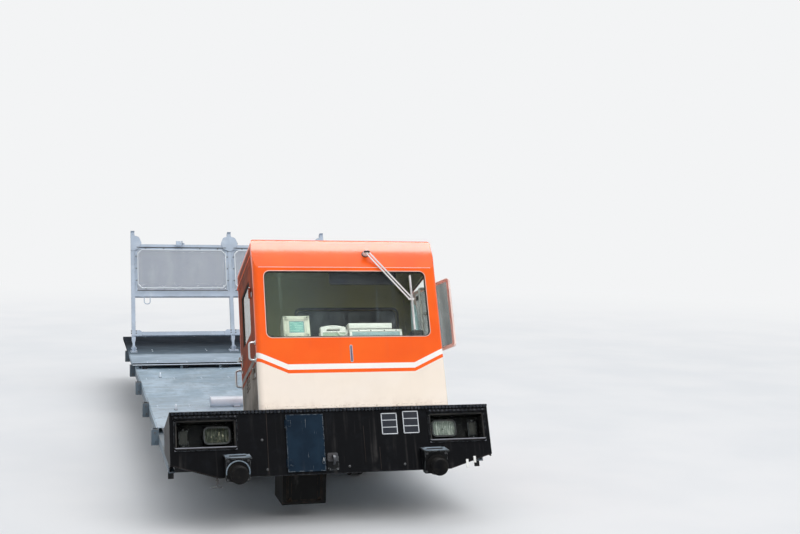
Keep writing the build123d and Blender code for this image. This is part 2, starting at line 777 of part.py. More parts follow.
outer = cab_block(0, cab_round)
inner = cab_block(cab_wall, cab_round - cab_wall + 5)
with BuildPart() as cab_shell:
    add(outer.part)
    add(inner.part, mode=Mode.SUBTRACT)
    with BuildSketch(facing(-20)):
        with Locations(screen_mid):
            RectangleRounded(*screen_size, screen_round)
    extrude(amount=-(cab_wall + 40), mode=Mode.SUBTRACT)
    with BuildSketch(facing(cab_depth + 20)):
        with Locations(rear_window_mid):
            RectangleRounded(*rear_window_size, screen_round)
    extrude(amount=cab_wall + 40, mode=Mode.SUBTRACT)
    with BuildSketch(flank(cab_left - 20)):
        with Locations((sum(door_h) / 2, sum(door_w) / 2)):
            RectangleRounded(door_h[1] - door_h[0], door_w[1] - door_w[0], 46)
    extrude(amount=cab_wall + 40, mode=Mode.SUBTRACT)
    with BuildSketch(flank(cab_right - cab_wall - 20)):
        with Locations((sum(sash_h) / 2, sum(sash_w) / 2)):
            RectangleRounded(sash_h[1] - sash_h[0], sash_w[1] - sash_w[0], 34)
    extrude(amount=cab_wall + 40, mode=Mode.SUBTRACT)

split_in = 60               # where the front, rear and roof panels end
joint_w = roof_w - split_in
joint_h = split_in + fold_h * (joint_w - fold_w) / (roof_w - fold_w)
back_h = cab_depth - split_in
front_joint = [(split_in, -200), (split_in, fold_w), (joint_h, joint_w)]
side_outline = front_joint + [(back_h, joint_w), (back_h, -200)]
panels = (
    # name, across from and to, outline along the car: level uphill, plumb up
    ("cab_front", (cab_left, cab_right), front_joint + [(-100, joint_w), (-100, -200)]),
    ("cab_rear", (cab_left, cab_right),
     [(back_h, -200), (back_h, joint_w), (1200, joint_w), (1200, -200)]),
    ("cab_left_side", (cab_left, cab_left + split_in), side_outline),
    ("cab_right_side", (cab_right - split_in, cab_right), side_outline),
    ("cab_roof", (cab_left, cab_right),
     [(-100, joint_w), (-100, roof_w), (1200, roof_w), (1200, joint_w)]),
)
panel_zones = {}
for name, across, outline in panels:
    with BuildPart() as zone:
        with BuildSketch(flank(across[0])):
            with BuildLine():
                Polyline(*outline, close=True)
            make_face()
        extrude(amount=across[1] - across[0])
    panel_zones[name] = zone.part


def knuckle_ring():
    """Section of a moving hinge knuckle, bored for its pin."""
    Circle(hinge_r)
    Circle(pin_r + pin_clear, mode=Mode.SUBTRACT)


# Door and side window hang on plumb pins outside their walls
door_hinge_x = cab_left - hinge_off
door_hinge_h = door_h[0]
sash_hinge_x = cab_right + hinge_off
sash_hinge_h = sash_h[1]
door_hinges_w = (door_w[0] + 238, door_w[1] - 300)
sash_hinges_w = (sash_w[0] + 90, sash_w[1] - 140)
door_pin = Plane(origin=spot(door_hinge_x, door_hinge_h, 0), x_dir=(1, 0, 0), z_dir=(0, SIN, COS))
sash_pin = Plane(origin=spot(sash_hinge_x, sash_hinge_h, 0), x_dir=(1, 0, 0), z_dir=(0, SIN, COS))
strap = 60
strap_t = 5

for name in panel_zones:
    with BuildPart() as panel:
        add(cab_shell.part)
        add(panel_zones[name], mode=Mode.INTERSECT)
        if name in ("cab_left_side", "cab_right_side"):
            left = name == "cab_left_side"
            pin_plane = door_pin if left else sash_pin
            face_x = cab_left if left else cab_right
            out = -1 if left else 1
            lead = -1 if left else 1      # towards which end the fixed strap runs
            for mid in (door_hinges_w if left else sash_hinges_w):
                with BuildSketch(pin_plane.offset(mid)):
                    Circle(hinge_r)
                extrude(amount=hinge_length)
                with BuildSketch(pin_plane.offset(mid)):
                    Circle(pin_r)
                extrude(amount=2 * hinge_length)
                with BuildSketch(pin_plane.offset(mid)):
                    with Locations((-out * (hinge_off - strap_t / 2), lead * strap / 2)):
                        Rectangle(strap_t, strap)
                    with Locations((-out * (hinge_off - hinge_r) / 2 - out * 2, lead * strap_t)):
                        Rectangle(hinge_off - 2, 2 * strap_t)
                extrude(amount=hinge_length)
    keep(panel, name)

# Windscreen and rear window
glass_h = 12                # windscreen's outer face behind the cab's
for name, depth, size, mid in (
    ("windscreen", glass_h, screen_size, screen_mid),
    ("rear_window", cab_depth - 18, rear_window_size, rear_window_mid),
):
    with BuildPart() as pane:
        with BuildSketch(facing(depth)):
            with Locations(mid):
                RectangleRounded(size[0] - 2 * seat_gap, size[1] - 2 * seat_gap, screen_round - seat_gap)
        extrude(amount=-glass_t)
    keep(pane, name)

# Door: leaf, window, louvres and its half of the hinges
leaf_h = (door_h[0] + door_gap, door_h[1] - door_gap)
leaf_w = (door_w[0] + door_gap, door_w[1] - door_gap)
door_glass_size = (door_window_h[1] - door_window_h[0], door_window_w[1] - door_window_w[0])
door_glass_mid = (sum(door_window_h) / 2, sum(door_window_w) / 2)
with BuildPart() as door:
    with BuildSketch(flank(cab_left)):
        with Locations((sum(leaf_h) / 2, sum(leaf_w) / 2)):
            RectangleRounded(leaf_h[1] - leaf_h[0], leaf_w[1] - leaf_w[0], 40)
        with Locations(door_glass_mid):
            RectangleRounded(*door_glass_size, 40, mode=Mode.SUBTRACT)
        with Locations((sum(door_h) / 2 + 25, door_w[0] + 306)):
            with GridLocations(112, 30, 2, 5):
                SlotOverall(88, 12, mode=Mode.SUBTRACT)
    extrude(amount=cab_wall)
    for mid in door_hinges_w:
        with BuildSketch(door_pin.offset(mid + hinge_length + seat_gap)):
            knuckle_ring()
        extrude(amount=hinge_length)
        with BuildSketch(door_pin.offset(mid + hinge_length + seat_gap)):
            with Locations((hinge_off - strap_t / 2, door_gap + strap / 2)):
                Rectangle(strap_t, strap)
            with Locations((hinge_off / 2 + 1, hinge_r)):
                Rectangle(hinge_off - 2, 8)
        extrude(amount=hinge_length)
keep(door, "cab_door")
with BuildPart() as door_glass:
    with BuildSketch(flank(cab_left + 12)):
        with Locations(door_glass_mid):
            RectangleRounded(door_glass_size[0] - 2 * seat_gap, door_glass_size[1] - 2 * seat_gap, 39)
    extrude(amount=glass_t)
keep(door_glass, "door_window")

# Door handle with its backplate
handle_h = door_h[1] - 50
handle_w = (door_w[0] + door_w[1]) / 2 - 41
with BuildPart() as door_handle:
    with BuildSketch(flank(cab_left - 8)):
        with Locations((handle_h, handle_w)):
            RectangleRounded(36, 110, 8)
    extrude(amount=8)
    with BuildSketch(flank(cab_left - 40)):
        with Locations((handle_h, handle_w)):
            Circle(11)
    extrude(amount=32)
    with BuildSketch(flank(cab_left - 46)):
        with Locations((handle_h - 45, handle_w)):
            RectangleRounded(116, 20, 9)
    extrude(amount=12)
keep(door_handle, "door_handle")

# Side window: a frame and its pane, standing open on its rear edge
swing = radians(sash_open)
open_dir = Vector(sin(swing), -COS * cos(swing), SIN * cos(swing))
sash_plane = Plane(
    origin=spot(sash_hinge_x, sash_hinge_h, 0), x_dir=open_dir,
    z_dir=open_dir.cross(Vector(0, SIN, COS)),
)
sash_length = sash_h[1] - sash_h[0] - 2 * door_gap
sash_height = sash_w[1] - sash_w[0] - 2 * door_gap
sash_mid = (door_gap + sash_length / 2, sum(sash_w) / 2)
with BuildPart() as sash:
    with BuildSketch(sash_plane.offset(hinge_off)):
        with Locations(sash_mid):
            RectangleRounded(sash_length, sash_height, 30)
            RectangleRounded(sash_length - 2 * sash_frame, sash_height - 2 * sash_frame, 20,
                             mode=Mode.SUBTRACT)
    extrude(amount=sash_t)
    for mid in sash_hinges_w:
        turned = Plane(origin=spot(sash_hinge_x, sash_hinge_h, 0), x_dir=open_dir,
                       z_dir=(0, SIN, COS))
        with BuildSketch(turned.offset(mid + hinge_length + seat_gap)):
            knuckle_ring()
        extrude(amount=hinge_length)
        with BuildSketch(turned.offset(mid + hinge_length + seat_gap)):
            with Locations((door_gap + strap / 2, strap_t / 2 - hinge_off)):
                Rectangle(strap, strap_t)
            with Locations((hinge_r, -hinge_off / 2 - 1)):
                Rectangle(8, hinge_off - 2)
        extrude(amount=hinge_length)
keep(sash, "side_window_frame")
with BuildPart() as sash_pane:
    with BuildSketch(sash_plane.offset(hinge_off + (sash_t - glass_t) / 2)):
        with Locations(sash_mid):
            RectangleRounded(sash_length - 2 * sash_frame - 2 * seat_gap,
                             sash_height - 2 * sash_frame - 2 * seat_gap, 19)
    extrude(amount=glass_t)
keep(sash_pane, "side_window_pane")

# Grab handles beside the door
grip_r = 9
grip_out = 52
with BuildPart() as grab_handles:
    for h in (door_h[0] - 95, door_h[1] + 55):
        low = spot(cab_left, h, grip_w[0])
        high = spot(cab_left, h, grip_w[1])
        out_low = spot(cab_left - grip_out, h, grip_w[0])
        out_high = spot(cab_left - grip_out, h, grip_w[1])
        with BuildLine() as rail:
            FilletPolyline(low, out_low, out_high, high, radius=24)
        with BuildSketch(Plane(origin=low, x_dir=(0, SIN, COS), z_dir=(-1, 0, 0))):
            Circle(grip_r)
        sweep(path=rail.wires()[0])
keep(grab_handles, "grab_handles")

# Wiper: a spindle on the leaning forehead, two arms and the blade on the glass
lean_in = atan2(fold_h, roof_w - fold_w)
forehead_out = Vector(0, -COS * cos(lean_in) + SIN * sin(lean_in), SIN * cos(lean_in) + COS * sin(lean_in))
forehead_face = Plane(origin=spot(0, 0, fold_w), x_dir=(1, 0, 0), z_dir=forehead_out)
wiper_pivot = (screen_mid[0] + 197, fold_w + 0.4726 * (roof_w - fold_w))
wiper_end = (screen_mid[0] + screen_size[0] / 2 - 148, wiper_pivot[1] - 428)
blade_mid = (wiper_end[0] + 8, wiper_end[1] - 28)
blade_length = screen_size[1] - 100
with BuildPart() as wiper:
    with BuildSketch(facing(-26)):
        with Locations(wiper_pivot):
            Circle(13)
    extrude(amount=-fold_h)
    with BuildSketch(facing(6)):
        with Locations(wiper_pivot):
            Circle(24)
    extrude(amount=-fold_h)
    split(bisect_by=forehead_face.offset(seat_gap), keep=Keep.TOP)
    with BuildSketch(facing(-14)):
        for shift in (-16, 16):
            start = Vector(*wiper_pivot) + Vector(shift, 0)
            end = Vector(*wiper_end) + Vector(shift, 0)
            run = end - start
            with Locations((start + end) / 2):
                SlotOverall(run.length + 16, 12, rotation=degrees(atan2(run.Y, run.X)))
        with Locations(wiper_pivot, wiper_end):
            SlotOverall(56, 18)
        with Locations(blade_mid):
            Rectangle(14, blade_length)
    extrude(amount=8)
    with BuildSketch(facing(glass_h - seat_gap)):
        with Locations(blade_mid):
            Rectangle(8, blade_length)
    extrude(amount=glass_h - seat_gap + 14)
keep(wiper, "wiper")

# Inside the cab
desk_top = 602
desk_side = 16              # its ends from the walls
with BuildPart() as control_desk:
    with BuildSketch(flank(cab_left + cab_wall + desk_side)):
        with BuildLine():
            Polyline(
                (cab_wall + 1, 0), (cab_wall + 1, desk_top), (300, desk_top), (330, desk_top - 34),
                (320, desk_top - 60), (170, desk_top - 90), (170, 0), close=True,
            )
        make_face()
    extrude(amount=cab_width - 2 * (cab_wall + desk_side))
keep(control_desk, "control_desk")

with BuildPart() as desk_monitor:
    with BuildSketch(flank(cab_left + 245)):
        with BuildLine():
            Polyline((95, desk_top), (110, 822), (170, 812), (235, 780), (240, desk_top), close=True)
        make_face()
    extrude(amount=225)
keep(desk_monitor, "desk_monitor")

phone_top = desk_top + 94
with BuildPart() as telephone:
    with BuildSketch(level(desk_top)):
        with Locations((79, 170)):
            RectangleRounded(230, 90, 14)
    extrude(amount=phone_top - desk_top)
    for x in (-30, 136):
        with BuildSketch(flank(x)):
            with Locations((170, phone_top + 20 + seat_gap)):
                RectangleRounded(52, 40, 14)
        extrude(amount=50)
    with BuildSketch(flank(-20)):
        with Locations((170, phone_top + 36)):
            RectangleRounded(40, 24, 10)
    extrude(amount=196)
keep(telephone, "telephone")

with BuildPart() as desk_console:
    with BuildSketch(flank(205)):
        with BuildLine():
            Polyline((80, desk_top), (92, desk_top + 88), (225, desk_top + 88),
                     (292, desk_top + 52), (292, desk_top), close=True)
        make_face()
    extrude(amount=455)
    with BuildSketch(flank(205)):
        with BuildLine():
            Polyline((92, desk_top + 87), (95, desk_top + 140), (190, desk_top + 150),
                     (225, desk_top + 87), close=True)
        make_face()
    extrude(amount=370)
keep(desk_console, "desk_console")

visor_h = 96


def forehead(w):
    """How far uphill the forehead's inner face is at a height."""
    return cab_wall + seat_gap + fold_h * (w - fold_w) / (roof_w - cab_wall - fold_w)


visor_mid = (screen_mid[0] + 171, fold_w - 32)
arm_w = visor_mid[1] + 50
with BuildPart() as sun_visor:
    with BuildSketch(facing(visor_h)):
        with Locations(visor_mid):
            RectangleRounded(590, 178, 24)
    extrude(amount=-5)
    for x in (visor_mid[0] - 160, visor_mid[0] + 160):
        with BuildSketch(flank(x - 7)):
            with BuildLine():
                Polyline(
                    (visor_h + 5, arm_w), (visor_h + 5, arm_w + 15), (forehead(arm_w + 30), arm_w + 30),
                    (forehead(arm_w + 15), arm_w + 15), close=True,
                )
            make_face()
        extrude(amount=14)
keep(sun_visor, "sun_visor")

seat_mid = (250, 690)
with BuildPart() as seat_base:
    with BuildSketch(level(0)):
        with Locations(seat_mid):
            RectangleRounded(260, 240, 20)
    extrude(amount=400)
    with BuildSketch(level(400)):
        with Locations(seat_mid):
            RectangleRounded(400, 370, 30)
    extrude(amount=20)
keep(seat_base, "seat_base")
with BuildPart() as seat_cushion:
    with BuildSketch(level(420 + seat_gap)):
        with Locations(seat_mid):
            RectangleRounded(420, 380, 50)
    extrude(amount=80)
keep(seat_cushion, "seat_cushion")


# Load gate: posts, rails and gussets as one welded frame, panes above its middle rail
def gate_facing(h):
    """A plumb plane across the car at the gate's feet."""
    foot = (0, along(gate_y) + h * COS, raised_z - h * SIN)
    return Plane(origin=foot, x_dir=(1, 0, 0), z_dir=(0, -COS, SIN))


half_post = post_size / 2
shoulder_w = low_rail[0] - 76       # where the posts narrow to their feet
foot_half = 15
pane_border = 34
pane_from = mid_rail[0] + mid_rail[1] / 2
pane_to = top_rail[0] - top_rail[1] / 2
pane_mid_w = (pane_from + pane_to) / 2
bay = post_x - post_size            # clear width between two posts
bay_mids = [(side * post_x / 2, pane_mid_w) for side in (-1, 1)]
with BuildPart() as gate_frame:
    with BuildSketch(gate_facing(half_post)):
        for x in (-post_x, 0, post_x):
            with BuildLine():
                Polyline(
                    (x - half_post, gate_height), (x - half_post, shoulder_w),
                    (x - foot_half, shoulder_w - 40), (x - foot_half, -100),
                    (x + foot_half, -100), (x + foot_half, shoulder_w - 40),
                    (x + half_post, shoulder_w), (x + half_post, gate_height), close=True,
                )
            make_face()
        for middle, depth in (top_rail, mid_rail, low_rail):
            with Locations((0, middle)):
                Rectangle(2 * post_x, depth)
    extrude(amount=-post_size)
    split(bisect_by=Plane.XY.offset(raised_z), keep=Keep.TOP)
    # Borders of the panes, with cut corners
    with BuildSketch(gate_facing(half_post + 8)):
        with Locations(*bay_mids):
            Rectangle(bay + 2, pane_to - pane_from + 2)
        for x, w in bay_mids:
            with BuildLine():
                half_x = bay / 2 - pane_border
                half_w = (pane_to - pane_from) / 2 - pane_border * 0.65
                Polyline(
                    (x - half_x + 40, w + half_w), (x + half_x - 40, w + half_w),
                    (x + half_x, w + half_w - 40), (x + half_x, w - half_w),
                    (x - half_x, w - half_w), (x - half_x, w + half_w - 40), close=True,
                )
            make_face(mode=Mode.SUBTRACT)
    extrude(amount=-14)
    # Gusset plates on the downhill face
    with BuildSketch(gate_facing(half_post)):
        for x in (-post_x, 0, post_x):
            with Locations((x, top_rail[0] + 42)):
                RegularPolygon(108, 8, major_radius=False)
            with BuildLine():
                Polyline(
                    (x - 110, low_rail[0] - 32), (x - 110, low_rail[0] + 18),
                    (x - 82, low_rail[0] + 46), (x + 82, low_rail[0] + 46),
                    (x + 110, low_rail[0] + 18), (x + 110, low_rail[0] - 32), close=True,
                )
            make_face()
        for side in (-1, 1):
            with Locations((side * (post_x + half_post + 200), gate_height / 2)):
                Rectangle(400, 2 * gate_height, mode=Mode.SUBTRACT)
    extrude(amount=8)
    # Bases on the raised deck: a flange and two ears, pinned through the foot
    with BuildSketch(Plane.XY.offset(raised_z)):
        for x, wide in ((-post_x, 84), (0, 120), (post_x, 84)):
            with Locations((x, along(gate_y) + half_post / COS)):
                Rectangle(wide, 150)
    extrude(amount=12)
    for x in (-post_x, 0, post_x):
        for side in (-1, 1):
            with BuildSketch(Plane.YZ.offset(x + side * foot_half)):
                with Locations((along(gate_y) + half_post / COS + 20, raised_z + 34)):
                    Rectangle(84, 68)
            extrude(amount=side * 9)
        with BuildSketch(Plane.YZ.offset(x - 36)):
            with Locations((along(gate_y) + half_post / COS + 28, raised_z + 42)):
                Circle(10)
        extrude(amount=72)
    # Hook rod under the middle rail
    hook_foot = mid_rail[0] - mid_rail[1] / 2
    hook_at = (-post_x + 142, -post_x + 218)
    rod_line = [gate_facing(half_post + 8).from_local_coords((x, w)) for x, w in (
        (hook_at[0], hook_foot + 10), (hook_at[0], hook_foot - 100),
        (hook_at[1], hook_foot - 100), (hook_at[1], hook_foot + 10))]
    with BuildLine() as hook_path:
        FilletPolyline(*rod_line, radius=34)
    with BuildSketch(Plane(origin=rod_line[0], x_dir=(1, 0, 0), z_dir=(0, -SIN, -COS))):
        Circle(6)
    sweep(path=hook_path.wires()[0])
keep(gate_frame, "gate_frame")

with BuildPart() as gate_panes:
    with BuildSketch(gate_facing(half_post + 22 + seat_gap)):
        with Locations(*bay_mids):
            Rectangle(bay - 2 * seat_gap, pane_to - pane_from - 2 * seat_gap)
    extrude(amount=-6)
keep(gate_panes, "gate_panes")

os.makedirs("parts", exist_ok=True)
for piece in finished:
    export_step(piece, f"parts/{piece.label}.step")
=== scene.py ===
import json
from math import atan2, cos, pi, radians, sin, tan
import bmesh
import bpy
from mathutils import Matrix, Vector


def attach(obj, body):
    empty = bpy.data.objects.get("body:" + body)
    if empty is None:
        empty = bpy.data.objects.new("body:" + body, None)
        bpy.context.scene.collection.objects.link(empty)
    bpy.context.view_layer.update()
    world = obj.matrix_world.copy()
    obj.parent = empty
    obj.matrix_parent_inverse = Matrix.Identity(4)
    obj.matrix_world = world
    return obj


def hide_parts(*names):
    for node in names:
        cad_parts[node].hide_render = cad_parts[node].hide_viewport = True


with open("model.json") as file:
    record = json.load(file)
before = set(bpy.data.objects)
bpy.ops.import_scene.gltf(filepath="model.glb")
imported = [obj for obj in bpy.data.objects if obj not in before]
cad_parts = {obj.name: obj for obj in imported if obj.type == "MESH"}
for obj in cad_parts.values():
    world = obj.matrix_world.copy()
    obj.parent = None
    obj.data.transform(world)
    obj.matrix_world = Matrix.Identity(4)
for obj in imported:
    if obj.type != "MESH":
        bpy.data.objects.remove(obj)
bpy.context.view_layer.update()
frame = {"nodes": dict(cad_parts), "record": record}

# Funicular goods car: finishes, lamps, trims, fastenings and the studio.
# Metres. +X across, +Y uphill along the deck, +Z square to the rails. The cab,
# headstock and gate stand plumb on the slope, so plumb leans by LEAN here.
nodes = frame["nodes"]
scene = bpy.context.scene

LEAN = radians(23.4)
SIN, COS = sin(LEAN), cos(LEAN)
ACROSS = Vector((1, 0, 0))
UPHILL = Vector((0, COS, -SIN))      # level, towards the uphill end
PLUMB = Vector((0, SIN, COS))
CORNER = Vector((0, -3.927, 0.933))  # middle of the headstock's top front edge
DECK_Z = 0.575
RAISED_Z = 0.647
WELD_Z = DECK_Z + 0.002
AXLES_Y = (-2.277, 2.523)
AXLE_Z = 0.255
GATE_FOOT = Vector((0, 2.293, RAISED_Z))
CAB_LEFT, CAB_RIGHT, CAB_X = -0.600, 0.990, 0.195

# On the cab and headstock: x across, h level uphill and w plumb up from CORNER
LAMP_X, LAMP_W = 1.035, -0.184
LENS_SIZE = (0.188, 0.118)
SCREEN = (0.186, 0.895, 1.403, 0.586)    # middle x and w, width, height
REAR_WINDOW = (0.400, 1.002)             # middle x and w
DOOR_WINDOW = (0.515, 0.965)             # middle h and w
DOOR_HINGE_H, SASH_HINGE_H = 0.165, 0.738
HINGE_OUT = 0.014
SASH_W = 0.925
SASH_SWING = radians(28)

SOFT_SIDES = 6
BOTH = (-1, 1)
BACKDROP = (243, 244, 245)


# Places
def frame_of(x_dir, y_dir, z_dir, at):
    place = Matrix((x_dir, y_dir, z_dir)).transposed().to_4x4()
    place.translation = at
    return place


def spot(x, h, w):
    """The point x across, h level uphill and w plumb up from the headstock's top."""
    return CORNER + ACROSS * x + UPHILL * h + PLUMB * w


def front_face(x, w, h=0.0):
    """On a plumb face: across, plumb up, and out towards the buffers."""
    return frame_of(ACROSS, PLUMB, -UPHILL, spot(x, h, w))


def back_face(x, w, h):
    return frame_of(-ACROSS, PLUMB, UPHILL, spot(x, h, w))


def leaning(x, h, w, lean, way=-1):
    """On a face that leans back from plumb and looks downhill, or uphill with way 1."""
    return frame_of(ACROSS * -way, PLUMB * cos(lean) - UPHILL * (way * sin(lean)),
                    UPHILL * (way * cos(lean)) + PLUMB * sin(lean), spot(x, h, w))


def cab_side(side, h, w, out=0.0):
    """On a flank of the cab: along, plumb up, and out."""
    x = CAB_LEFT - out if side < 0 else CAB_RIGHT + out
    return frame_of(UPHILL * side, PLUMB, ACROSS * side, spot(x, h, w))


def cab_lining(side, x, h, w):
    """On the inside of a flank of the cab: along, plumb up, and into the cab."""
    return frame_of(UPHILL * side, PLUMB, ACROSS * -side, spot(x, h, w))


def level_top(x, h, w):
    return frame_of(ACROSS, UPHILL, PLUMB, spot(x, h, w))


def gate_face(x, w, out):
    """On the gate's face that looks down the deck."""
    return frame_of(ACROSS, PLUMB, -UPHILL, GATE_FOOT + ACROSS * x + PLUMB * w) @ at(0, 0, out)


def gate_top(x, h, w):
    return frame_of(ACROSS, UPHILL, PLUMB, GATE_FOOT + ACROSS * x + UPHILL * h + PLUMB * w)


def outboard(side, x, y, z):
    """On a face that looks sideways out of the frame: along the car, up, and out."""
    return frame_of(Vector((0, side, 0)), Vector((0, 0, 1)), ACROSS * side, Vector((x, y, z)))


def upright(x, y, z, way=-1):
    """On a face square to the deck that looks downhill, or uphill with way 1."""
    return frame_of(ACROSS * -way, Vector((0, 0, 1)), Vector((0, way, 0)), Vector((x, y, z)))


def at(x, y, z):
    return Matrix.Translation((x, y, z))


def turn(angle, axis="Z"):
    return Matrix.Rotation(angle, 4, axis)


def squash(x, y):
    return Matrix.Diagonal((x, y, 1, 1))


def corners(x, y):
    """The four corners of a field that reaches x and y from its middle."""
    return [(side * x, end * y) for side in BOTH for end in BOTH]


# Forms
def soften(form, edges, size, segments=2):
    if size:
        bmesh.ops.bevel(form, geom=list(edges), offset=size, offset_type="OFFSET", profile=0.5,
                        segments=segments, affect="EDGES", material=-1, clamp_overlap=True)


def block(size, soft=0.002, segments=2):
    form = bmesh.new()
    bmesh.ops.create_cube(form, size=1, matrix=Matrix.Diagonal((*size, 1)))
    soften(form, form.edges, soft, segments)
    return form


def disc(radius, depth, soft=0.001, sides=24, top=None):
    """A round, or with few sides a nut's, form standing on its place."""
    form = bmesh.new()
    bmesh.ops.create_cone(form, cap_ends=True, segments=sides, radius1=radius,
                          radius2=radius if top is None else top, depth=depth)
    bmesh.ops.translate(form, vec=(0, 0, depth / 2), verts=form.verts)
    soften(form, [e for e in form.edges if all(v.co.z > depth * 0.99 for v in e.verts)], soft)
    return form


def rounded_face(width, height, corner, sides=SOFT_SIDES):
    form = bmesh.new()
    bmesh.ops.create_grid(form, x_segments=1, y_segments=1, size=0.5,
                          matrix=squash(width, height))
    bmesh.ops.bevel(form, geom=list(form.verts), offset=corner, offset_type="OFFSET",
                    segments=sides, profile=0.5, affect="VERTICES", material=-1)
    return form


def extrude(form, faces, kind):
    """Extrudes faces and gives what is new of one kind."""
    made = bmesh.ops.extrude_face_region(form, geom=faces)
    return [g for g in made["geom"] if isinstance(g, kind)]


def raise_faces(form, depth, soft):
    """Gives flat faces a thickness and softens their outer rims."""
    upper = extrude(form, list(form.faces), bmesh.types.BMVert)
    bmesh.ops.translate(form, vec=(0, 0, depth), verts=upper)
    bmesh.ops.recalc_face_normals(form, faces=form.faces)
    soften(form, [e for e in form.edges if len(e.link_faces) == 2 and e.calc_face_angle() > 1.2
                  and all(v.co.z > depth * 0.9 for v in e.verts)], soft)
    return form


def plate(width, height, corner, depth, soft=0.001):
    return raise_faces(rounded_face(width, height, corner), depth, soft)


def band(width, height, corner, wide, depth, soft=0.001, sides=SOFT_SIDES):
    """A closed frame, such as a window's trim or a seal."""
    form = rounded_face(width, height, corner, sides)
    middle = form.faces[:]
    bmesh.ops.inset_region(form, faces=middle, thickness=wide, use_even_offset=True,
                           use_boundary=True)
    bmesh.ops.delete(form, geom=middle, context="FACES_ONLY")
    return raise_faces(form, depth, soft)


def rod(points, radius, sides=12):
    """A round bar along a line of points."""
    points = [Vector(p) for p in points]
    way = (points[1] - points[0]).normalized()
    start = way.to_track_quat("Z", "Y").to_matrix().to_4x4()
    start.translation = points[0]
    form = bmesh.new()
    bmesh.ops.create_circle(form, cap_ends=True, radius=radius, segments=sides, matrix=start)
    face = form.faces[:][0]
    for index in range(1, len(points)):
        face = extrude(form, [face], bmesh.types.BMFace)[0]
        bmesh.ops.translate(form, vec=points[index] - points[index - 1], verts=face.verts)
        if index < len(points) - 1:
            onward = (points[index + 1] - points[index]).normalized()
            bmesh.ops.rotate(form, cent=points[index], verts=face.verts,
                             matrix=way.rotation_difference(onward).to_matrix())
            way = onward
    return form


def bent(points, radius, steps=6):
    """The line of points with its corners rounded."""
    points = [Vector(p) for p in points]
    line = [points[0]]
    for before, corner, after in zip(points, points[1:], points[2:]):
        back, on = (before - corner).normalized(), (after - corner).normalized()
        reach = radius / tan(back.angle(on) / 2)
        first, last = corner + back * reach, corner + on * reach
        for step in range(steps + 1):
            t = step / steps
            line.append(first * (1 - t) ** 2 + corner * 2 * t * (1 - t) + last * t ** 2)
    return line + [points[-1]]


def turned(outline, sides=32):
    """A lathe-turned form from (radius, height) pairs, round its own Z."""
    form = bmesh.new()
    line = [form.verts.new((r, 0, z)) for r, z in outline]
    edges = [form.edges.new(pair) for pair in zip(line, line[1:])]
    bmesh.ops.spin(form, geom=line + edges, cent=(0, 0, 0), axis=(0, 0, 1), angle=2 * pi,
                   steps=sides, use_merge=True)
    bmesh.ops.remove_doubles(form, verts=form.verts, dist=1e-5)
    bmesh.ops.recalc_face_normals(form, faces=form.faces)
    return form


def ring(inner, outer, depth):
    return turned(((inner, 0.0), (outer, 0.0), (outer, depth), (inner, depth), (inner, 0.0)))


# Pieces
def mesh_of(name, form):
    mesh = bpy.data.meshes.new(name)
    form.to_mesh(mesh)
    form.free()
    return mesh


def thing_of(name, data):
    """A new object in the scene."""
    thing = bpy.data.objects.new(name, data)
    scene.collection.objects.link(thing)
    return thing


def evaluated(thing):
    """The mesh that a curve or an object's modifiers make."""
    graph = bpy.context.evaluated_depsgraph_get()
    return bpy.data.meshes.new_from_object(thing.evaluated_get(graph))


def bolts(places, radius=0.008, height=0.006):
    """Hexagon heads on their washers."""
    return [part for place in places for part in (
        (disc(radius * 1.5, 0.0018, 0.0005, 16), place),
        (disc(radius, height, radius * 0.12, 6), place @ at(0, 0, 0.0018)))]


def screws(places, radius=0.005, height=0.003):
    """Round heads."""
    return [(disc(radius, height, height * 0.8, 12), place) for place in places]


def hang(name, finish, *parts, body="car", smooth=40):
    """Joins forms, each at its place, into one piece and hangs it on a body."""
    piece = bmesh.new()
    for form, place in parts:
        bmesh.ops.transform(form, matrix=place, verts=form.verts)
        mesh = mesh_of("form", form)
        piece.from_mesh(mesh)
        bpy.data.meshes.remove(mesh)
    bmesh.ops.recalc_face_normals(piece, faces=piece.faces)
    mesh = mesh_of(name, piece)
    mesh.polygons.foreach_set("use_smooth", [True] * len(mesh.polygons))
    mesh.set_sharp_from_angle(angle=radians(smooth))
    mesh.materials.append(finish)
    thing = thing_of(name, mesh)
    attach(thing, body)
    return thing


# Finishes
def tint(red, green, blue):
    """A colour as it looks, 0 to 255 a channel."""
    return tuple(((c / 255 + 0.055) / 1.055) ** 2.4 if c > 10 else c / 3294
                 for c in (red, green, blue)) + (1.0,)


def paler(colour, by):
    return [min(255, c + by) for c in colour]


